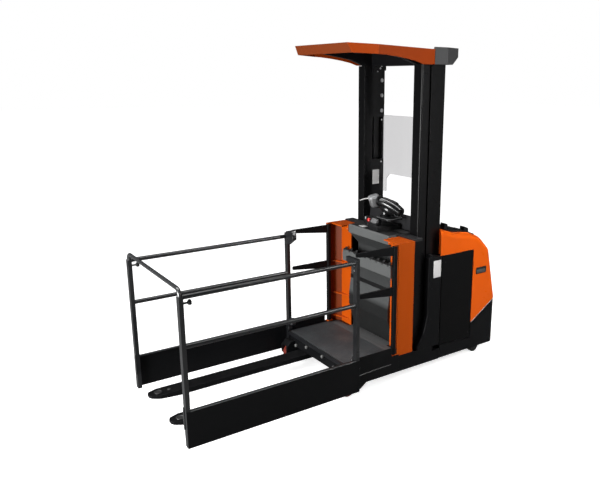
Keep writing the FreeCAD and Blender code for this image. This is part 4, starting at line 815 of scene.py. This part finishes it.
for side, sign in sides:
    turned(f"bar_knob_{side}", normal=rear, sign=sign, kind="black_plastic", sharp=32, **barKnob)
    steel = dict(sign=sign, kind="rail_steel", slot="black_steel")
    slab(f"post_collar_{side}", normal=up, top=left, **steel, **postCollar)
    slab(f"board_clip_{side}", normal=front, **steel, **boardClip)
    for name, bead in beads.items():
        line = [spot(bead["start"] + bead["step"] * k, sign * bead["side"], bead["height"] + bead["rise"] * k)
                for k in range(bead["count"])]
        rod(f"{name}_{side}", line, bead["radius"], bead["kind"], steps=bead["steps"],
            flat=bead["flat"], sharp=60)
    bm = bmesh.new()
    for back, steps, profile in forkCap["turns"]:
        at = (forkTip - back, forkCap["side"], forkCap["height"])
        revolve(bm, profile, where(at, up, left, sign), steps)
    addPiece(f"fork_cap_{side}", bm, "slat_grey", sharp=40)

apronStuds = dict(profile=[(0.011, -0.004), (0.011, 0.008), (0.016, 0.01), (0.0175, 0.014), (0.0165, 0.022),
                           (0.012, 0.027), (0.004, 0.029)],
                  x=0.03, spots=((-0.389, 0.178), (-0.186, 0.23), (0.103, 0.237), (0.3, 0.2)))
bm = bmesh.new()
for y, z in apronStuds["spots"]:
    revolve(bm, apronStuds["profile"], where((apronStuds["x"], y, z), front))
addPiece("apron_studs", bm, "stud_grey", sharp=40)

postPegs = dict(profile=[(0.01, -0.03), (0.015, -0.026), (0.016, 0.0), (0.015, 0.018), (0.01, 0.024),
                         (0.003, 0.026)], x=-0.01, spots=((0.566, 0.392), (0.54, 0.352)), steps=24)
bm = bmesh.new()
for y, z in postPegs["spots"]:
    for _, sign in sides:
        revolve(bm, postPegs["profile"], where((postPegs["x"], y, z), front, sign=sign), postPegs["steps"])
addPiece("post_pegs", bm, "rail_steel", sharp=40)

binStrip = dict(at=(-0.558, 0, 1.1), normal=up, top=front, size=(0.79, 0.014, 0.004), thick=0.02, edge=0.003)
slab("bin_strip", kind="black_plastic", sharp=40, **binStrip)

# the mat's end in the toe space, with a step on each side, in the frame's own mat colour
matTail = dict(outline=[(0.325, 0.644), (0.325, 0.565), (0.505, 0.561), (0.525, 0.543), (0.525, 0.4768)],
               thick=0.005, edge=0.001)
bm = bmesh.new()
halfTail = matTail["outline"]
prism(bm, [(-x, y) for y, x in reversed(halfTail)] + [(-x, -y) for y, x in halfTail], matTail["thick"],
      Matrix.Translation(spot(0, 0, matTop - matTail["thick"])), matTail["edge"])
addPiece("mat_tail", bm, bpy.data.materials["mat"], sharp=40)

# a thin dark strip across the console's front: painted shadow standing in for the shade of the gap below the
# tray
shadowGapStrip = dict(at=(-0.601, 0, 0.834), normal=front, size=(0.65, 0.038, 0.002), thick=0.009, edge=0.001)
slab("panel_seal", kind="black_plastic", sharp=40, **shadowGapStrip)

# folded lip along the platform's front edge, with a bead along its top
nosing = dict(section=[(0.0, -0.03), (0.0025, -0.03), (0.0025, -0.001), (0.0015, 0.0015), (-0.001, 0.0025),
                       (-0.016, 0.0025), (-0.016, 0.0), (0.0, 0.0)], x=0.03, half=0.555, below=0.005)
bm = bmesh.new()
nosingEnd = Matrix.Translation(spot(nosing["x"], nosing["half"], matTop - nosing["below"]))
prism(bm, nosing["section"], nosing["half"] * 2, nosingEnd @ Matrix.Rotation(math.pi / 2, 4, "X"))
addPiece("platform_nosing", bm, "rail_steel")
print("cage hardware set")

# tiller grip: a broad palm bar that drops away to the left, on a thick column
tillerGrip = dict(
    line=[(-0.705, -0.01, 1.66), (-0.725, 0.045, 1.655), (-0.755, 0.105, 1.632), (-0.795, 0.17, 1.592),
          (-0.825, 0.225, 1.548)], thick=0.05, swell=0.012, flat=0.78,
    under=[(-0.715, 0.02, 1.615), (-0.75, 0.09, 1.585), (-0.785, 0.15, 1.545)], underThick=0.03,
    underSwell=0.022, foot=(-0.742, 0.055, unitTop - 0.004), bead=0.0045, highlightOut=0.66, highlightUp=0.6,
    column=[(0.062, 0), (0.062, 0.012), (0.048, 0.026), (0.04, 0.05), (0.043, 0.08), (0.05, 0.12),
            (0.045, 0.15)])


def grip(want):
    bm = bmesh.new()
    line = smoothPath(want["line"], 12)
    last = len(line) - 1
    wide = []
    for k in range(last + 1):
        share = k / last
        full = want["thick"] + want["swell"] * math.sin(math.pi * share)
        wide.append(full * min(1, (1 - share) / 0.09) ** 0.45 * min(1, (share + 0.02) / 0.06) ** 0.4 + 0.002)
    tube(bm, line, wide, 32, want["flat"])
    under = smoothPath(want["under"], 8)
    thick = [want["underThick"] + want["underSwell"] * math.sin(math.pi * k / (len(under) - 1))
             for k in range(len(under))]
    tube(bm, under, thick, 28, 0.9)
    revolve(bm, want["column"], Matrix.Translation(spot(*want["foot"])), 36)
    # a pale line along the grip's upper edge, a painted highlight
    bead = []
    for k in range(10, last - 6):
        ahead = (line[k + 1] - line[k - 1]).normalized()
        side = ahead.cross(Vector(up)).normalized()
        over = side.cross(ahead)
        bead.append(line[k] + side * (wide[k] * want["highlightOut"]) + over * (wide[k] * want["highlightUp"]))
    rod("grip_bead", bead, want["bead"], "cap_light")
    return addPiece("tiller_grip", bm, "black_gloss", sharp=50)


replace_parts(grip(tillerGrip), "steering_handle")

tillerHead = dict(at=(-0.69, -0.055, 1.652), normal=(0.22, -0.12, 1), sizes=(0.062, 0.052, 0.058), power=0.5)
tillerCap = dict(tillerHead, lift=(-0.004, 0, 0.034), sizes=(0.064, 0.055, 0.031), power=0.6)
block("tiller_head", kind="handle_grey", **tillerHead)
block("tiller_cap", kind="cap_light", **tillerCap)

tillerCollar = dict(
    normal=(-0.3, 1, -0.1),
    rings=(((-0.702, 0.008, 1.664),
            [(0.038, -0.014), (0.05, -0.01), (0.054, 0.0), (0.05, 0.01), (0.038, 0.014)]),
           ((-0.708, 0.03, 1.668),
            [(0.03, -0.006), (0.042, -0.004), (0.044, 0.0), (0.042, 0.004), (0.03, 0.006)])))
bm = bmesh.new()
for at, profile in tillerCollar["rings"]:
    revolve(bm, profile, where(at, tillerCollar["normal"]), 40)
addPiece("tiller_collar", bm, "black_plastic", sharp=40)

liftLever = dict(line=[(-0.68, -0.1, 1.665), (-0.672, -0.14, 1.668), (-0.655, -0.19, 1.656),
                       (-0.64, -0.232, 1.638)], thick=0.0085, taper=0.003, flat=0.7)
stalk = smoothPath(liftLever["line"], 8)
thick = [liftLever["thick"] - liftLever["taper"] * k / (len(stalk) - 1) for k in range(len(stalk))]
rod("lift_lever", stalk, thick, "pale_plate", steps=14, flat=liftLever["flat"])

thumbPad = dict(at=(-0.79, 0.128, 1.652), normal=(-0.3, 0.35, 1), sizes=(0.034, 0.05, 0.016), power=0.7)
block("thumb_pad", kind="slat_grey", **thumbPad)

switchBox = dict(at=(-0.655, 0.0, 1.462), normal=(1, 0.06, 0.16), size=(0.19, 0.088, 0.024), thick=0.062,
                 edge=0.012, steps=4)
slab("switch_box", kind="black_plastic", sharp=40, **switchBox)

boxCorners = dict(normal=(1, -0.4, 0.2), power=0.6, corners=(
    ((-0.602, -0.075, 1.49), (0.014, 0.015, 0.012)), ((-0.602, -0.068, 1.448), (0.012, 0.015, 0.012))))
bm = bmesh.new()
for at, sizes in boxCorners["corners"]:
    pebble(bm, where(at, boxCorners["normal"]), sizes, boxCorners["power"], 24, 12)
addPiece("switch_box_corners", bm, "cap_light", sharp=60)

stopButton = dict(at=(-0.59, -0.004, 1.482), normal=(1, 0.05, 0.4), steps=32,
                  profile=[(0.011, -0.012), (0.011, 0.004), (0.0165, 0.006), (0.018, 0.01), (0.0165, 0.016),
                           (0.011, 0.02), (0.004, 0.021)])
turned("stop_button", kind="button_red", slot="orange_steel", **stopButton)

keySwitch = dict(seat=[(0.02, -0.012), (0.023, -0.004), (0.023, 0.0), (0.018, 0.003)],
                 seatAt=(-0.593, -0.004, 1.48), seatNormal=(1, 0.05, 0.4),
                 knob=[(0.015, -0.01), (0.015, 0.01), (0.012, 0.014), (0.005, 0.015)],
                 knobAt=(-0.6, -0.03, 1.438), knobNormal=(1, -0.2, 0.2), lobes=6, depth=0.12)
bm = bmesh.new()
revolve(bm, keySwitch["seat"], where(keySwitch["seatAt"], keySwitch["seatNormal"]), 32)
revolve(bm, keySwitch["knob"], where(keySwitch["knobAt"], keySwitch["knobNormal"]), 32, keySwitch["lobes"],
        keySwitch["depth"])
addPiece("key_switch", bm, "slat_grey", sharp=40)

display = dict(at=(-0.612, 0.058, 1.48), normal=(0.9, 0.15, 0.6), sizes=(0.042, 0.028, 0.024), power=0.55)
displayFace = dict(at=display["at"], normal=display["normal"], lift=0.0206, size=(0.044, 0.026, 0.004),
                   thick=0.0016, edge=0.0005)
block("display", kind="handle_grey", **display)
slab("display_face", kind="black_plastic", **displayFace)

controlTray = dict(at=(-0.735, 0.125, unitTop + 0.002), normal=up, top=left, size=(0.19, 0.21, 0.03),
                   thick=0.014, edge=0.005, steps=3)
# a pale line round the top of the tray, a painted highlight
trayHighlight = dict(size=(0.18, 0.2, 0.027), height=0.0135, radius=0.0028)
slab("control_tray", kind="black_plastic", sharp=40, **controlTray)
trayPlace = where(controlTray["at"], up, left)
rim = [trayPlace @ Vector((x, y, trayHighlight["height"])) for x, y in roundedBox(*trayHighlight["size"])]
rod("control_tray_rim", rim + rim[:1], trayHighlight["radius"], "cap_light", steps=8, sharp=40)
print("controls set")

view = dict(place=(3.102, 4.907, 2.812), turn=(75.98, -0.325, 144.006), lens=38.37, shift=-0.1)
camera = bpy.data.objects.new("camera", bpy.data.cameras.new("camera"))
scene.collection.objects.link(camera)
camera.location = spot(*view["place"])
camera.rotation_euler = [math.radians(angle) for angle in view["turn"]]
camera.data.lens = view["lens"]
camera.data.shift_x = view["shift"]
scene.camera = camera

# the floor and the world show as white paper, but light the truck only a little
studio = dict(floorSize=60, floorColor=(0.2, 0.2, 0.2, 1), floorSeen=(0.8, 0.8, 0.8, 1), floorGlow=0.75,
              worldColor=(0.042, 0.043, 0.045, 1), worldSeen=(1, 1, 1, 1))


def seenDirectly(t):
    rays = t.add("ShaderNodeLightPath").outputs
    return t.math("MAXIMUM", rays["Is Camera Ray"], rays["Is Transmission Ray"])


floor = bpy.data.objects.new("floor", bpy.data.meshes.new("floor"))
scene.collection.objects.link(floor)
reach = studio["floorSize"]
floor.data.from_pydata([(-reach, -reach, 0), (reach, -reach, 0), (reach, reach, 0), (-reach, reach, 0)], [],
                       [(0, 1, 2, 3)])
paper, t = principled("paper")[:2]
t.tree.nodes.remove(t.tree.nodes["Principled BSDF"])
seen = seenDirectly(t)
matt = t.add("ShaderNodeBsdfDiffuse", {"Color": t.mix(seen, studio["floorColor"], studio["floorSeen"])})
strength = t.math("MULTIPLY", seen, studio["floorGlow"])
glow = t.add("ShaderNodeEmission", {"Color": (1, 1, 1, 1), "Strength": strength})
both = t.add("ShaderNodeAddShader", {0: matt.outputs[0], 1: glow.outputs[0]})
t.fill(t.tree.nodes["Material Output"].inputs, {"Surface": both.outputs[0]})
floor.data.materials.append(paper)

world = bpy.data.worlds.new("studio")
scene.world = world
world.use_nodes = True
t = Tree(world.node_tree)
sky = t.mix(seenDirectly(t), studio["worldColor"], studio["worldSeen"])
t.fill(world.node_tree.nodes["Background"].inputs, {"Color": sky, "Strength": 1.0})
scene.view_settings.view_transform = "Standard"

daylight = dict(energy=1.5, angle=0.6, turn=(18, 24, 0))
sun = bpy.data.objects.new("sun", bpy.data.lights.new("sun", "SUN"))
sun.data.energy = daylight["energy"]
sun.data.angle = daylight["angle"]
sun.rotation_euler = [math.radians(angle) for angle in daylight["turn"]]
scene.collection.objects.link(sun)

lamps = {
    "front": dict(place=(6.2, 1.2, 1.5), target=(-0.3, 0, 0.9), size=(3.0, 2.4), power=640, spread=180),
    "top": dict(place=(0.4, 0.6, 7.0), target=(0.2, 0, 0.9), size=(5.0, 2.5), power=200, spread=180),
    "side": dict(place=(-3.6, 5.4, 5.0), target=(-1.6, 0.6, 0.75), size=(1.6, 1.6), power=20, spread=40),
    "high": dict(place=(-2.0, 6.0, 3.2), target=(-0.7, 0.5, 3.2), size=(1.0, 1.0), power=12, spread=50),
    "strip": dict(place=(-3.6, 5.0, 1.9), target=(-1.2, 0.5, 1.3), size=(0.5, 3.2), power=20, spread=180),
}
for name, want in lamps.items():
    lamp = bpy.data.lights.new(name, "AREA")
    lamp.shape = "RECTANGLE"
    lamp.size, lamp.size_y = want["size"]
    lamp.energy = want["power"]
    lamp.spread = math.radians(want["spread"])
    stand = bpy.data.objects.new(name, lamp)
    stand.location = want["place"]
    stand.rotation_euler = (Vector(want["target"]) - stand.location).to_track_quat("-Z", "Y").to_euler()
    scene.collection.objects.link(stand)

print("stage set")
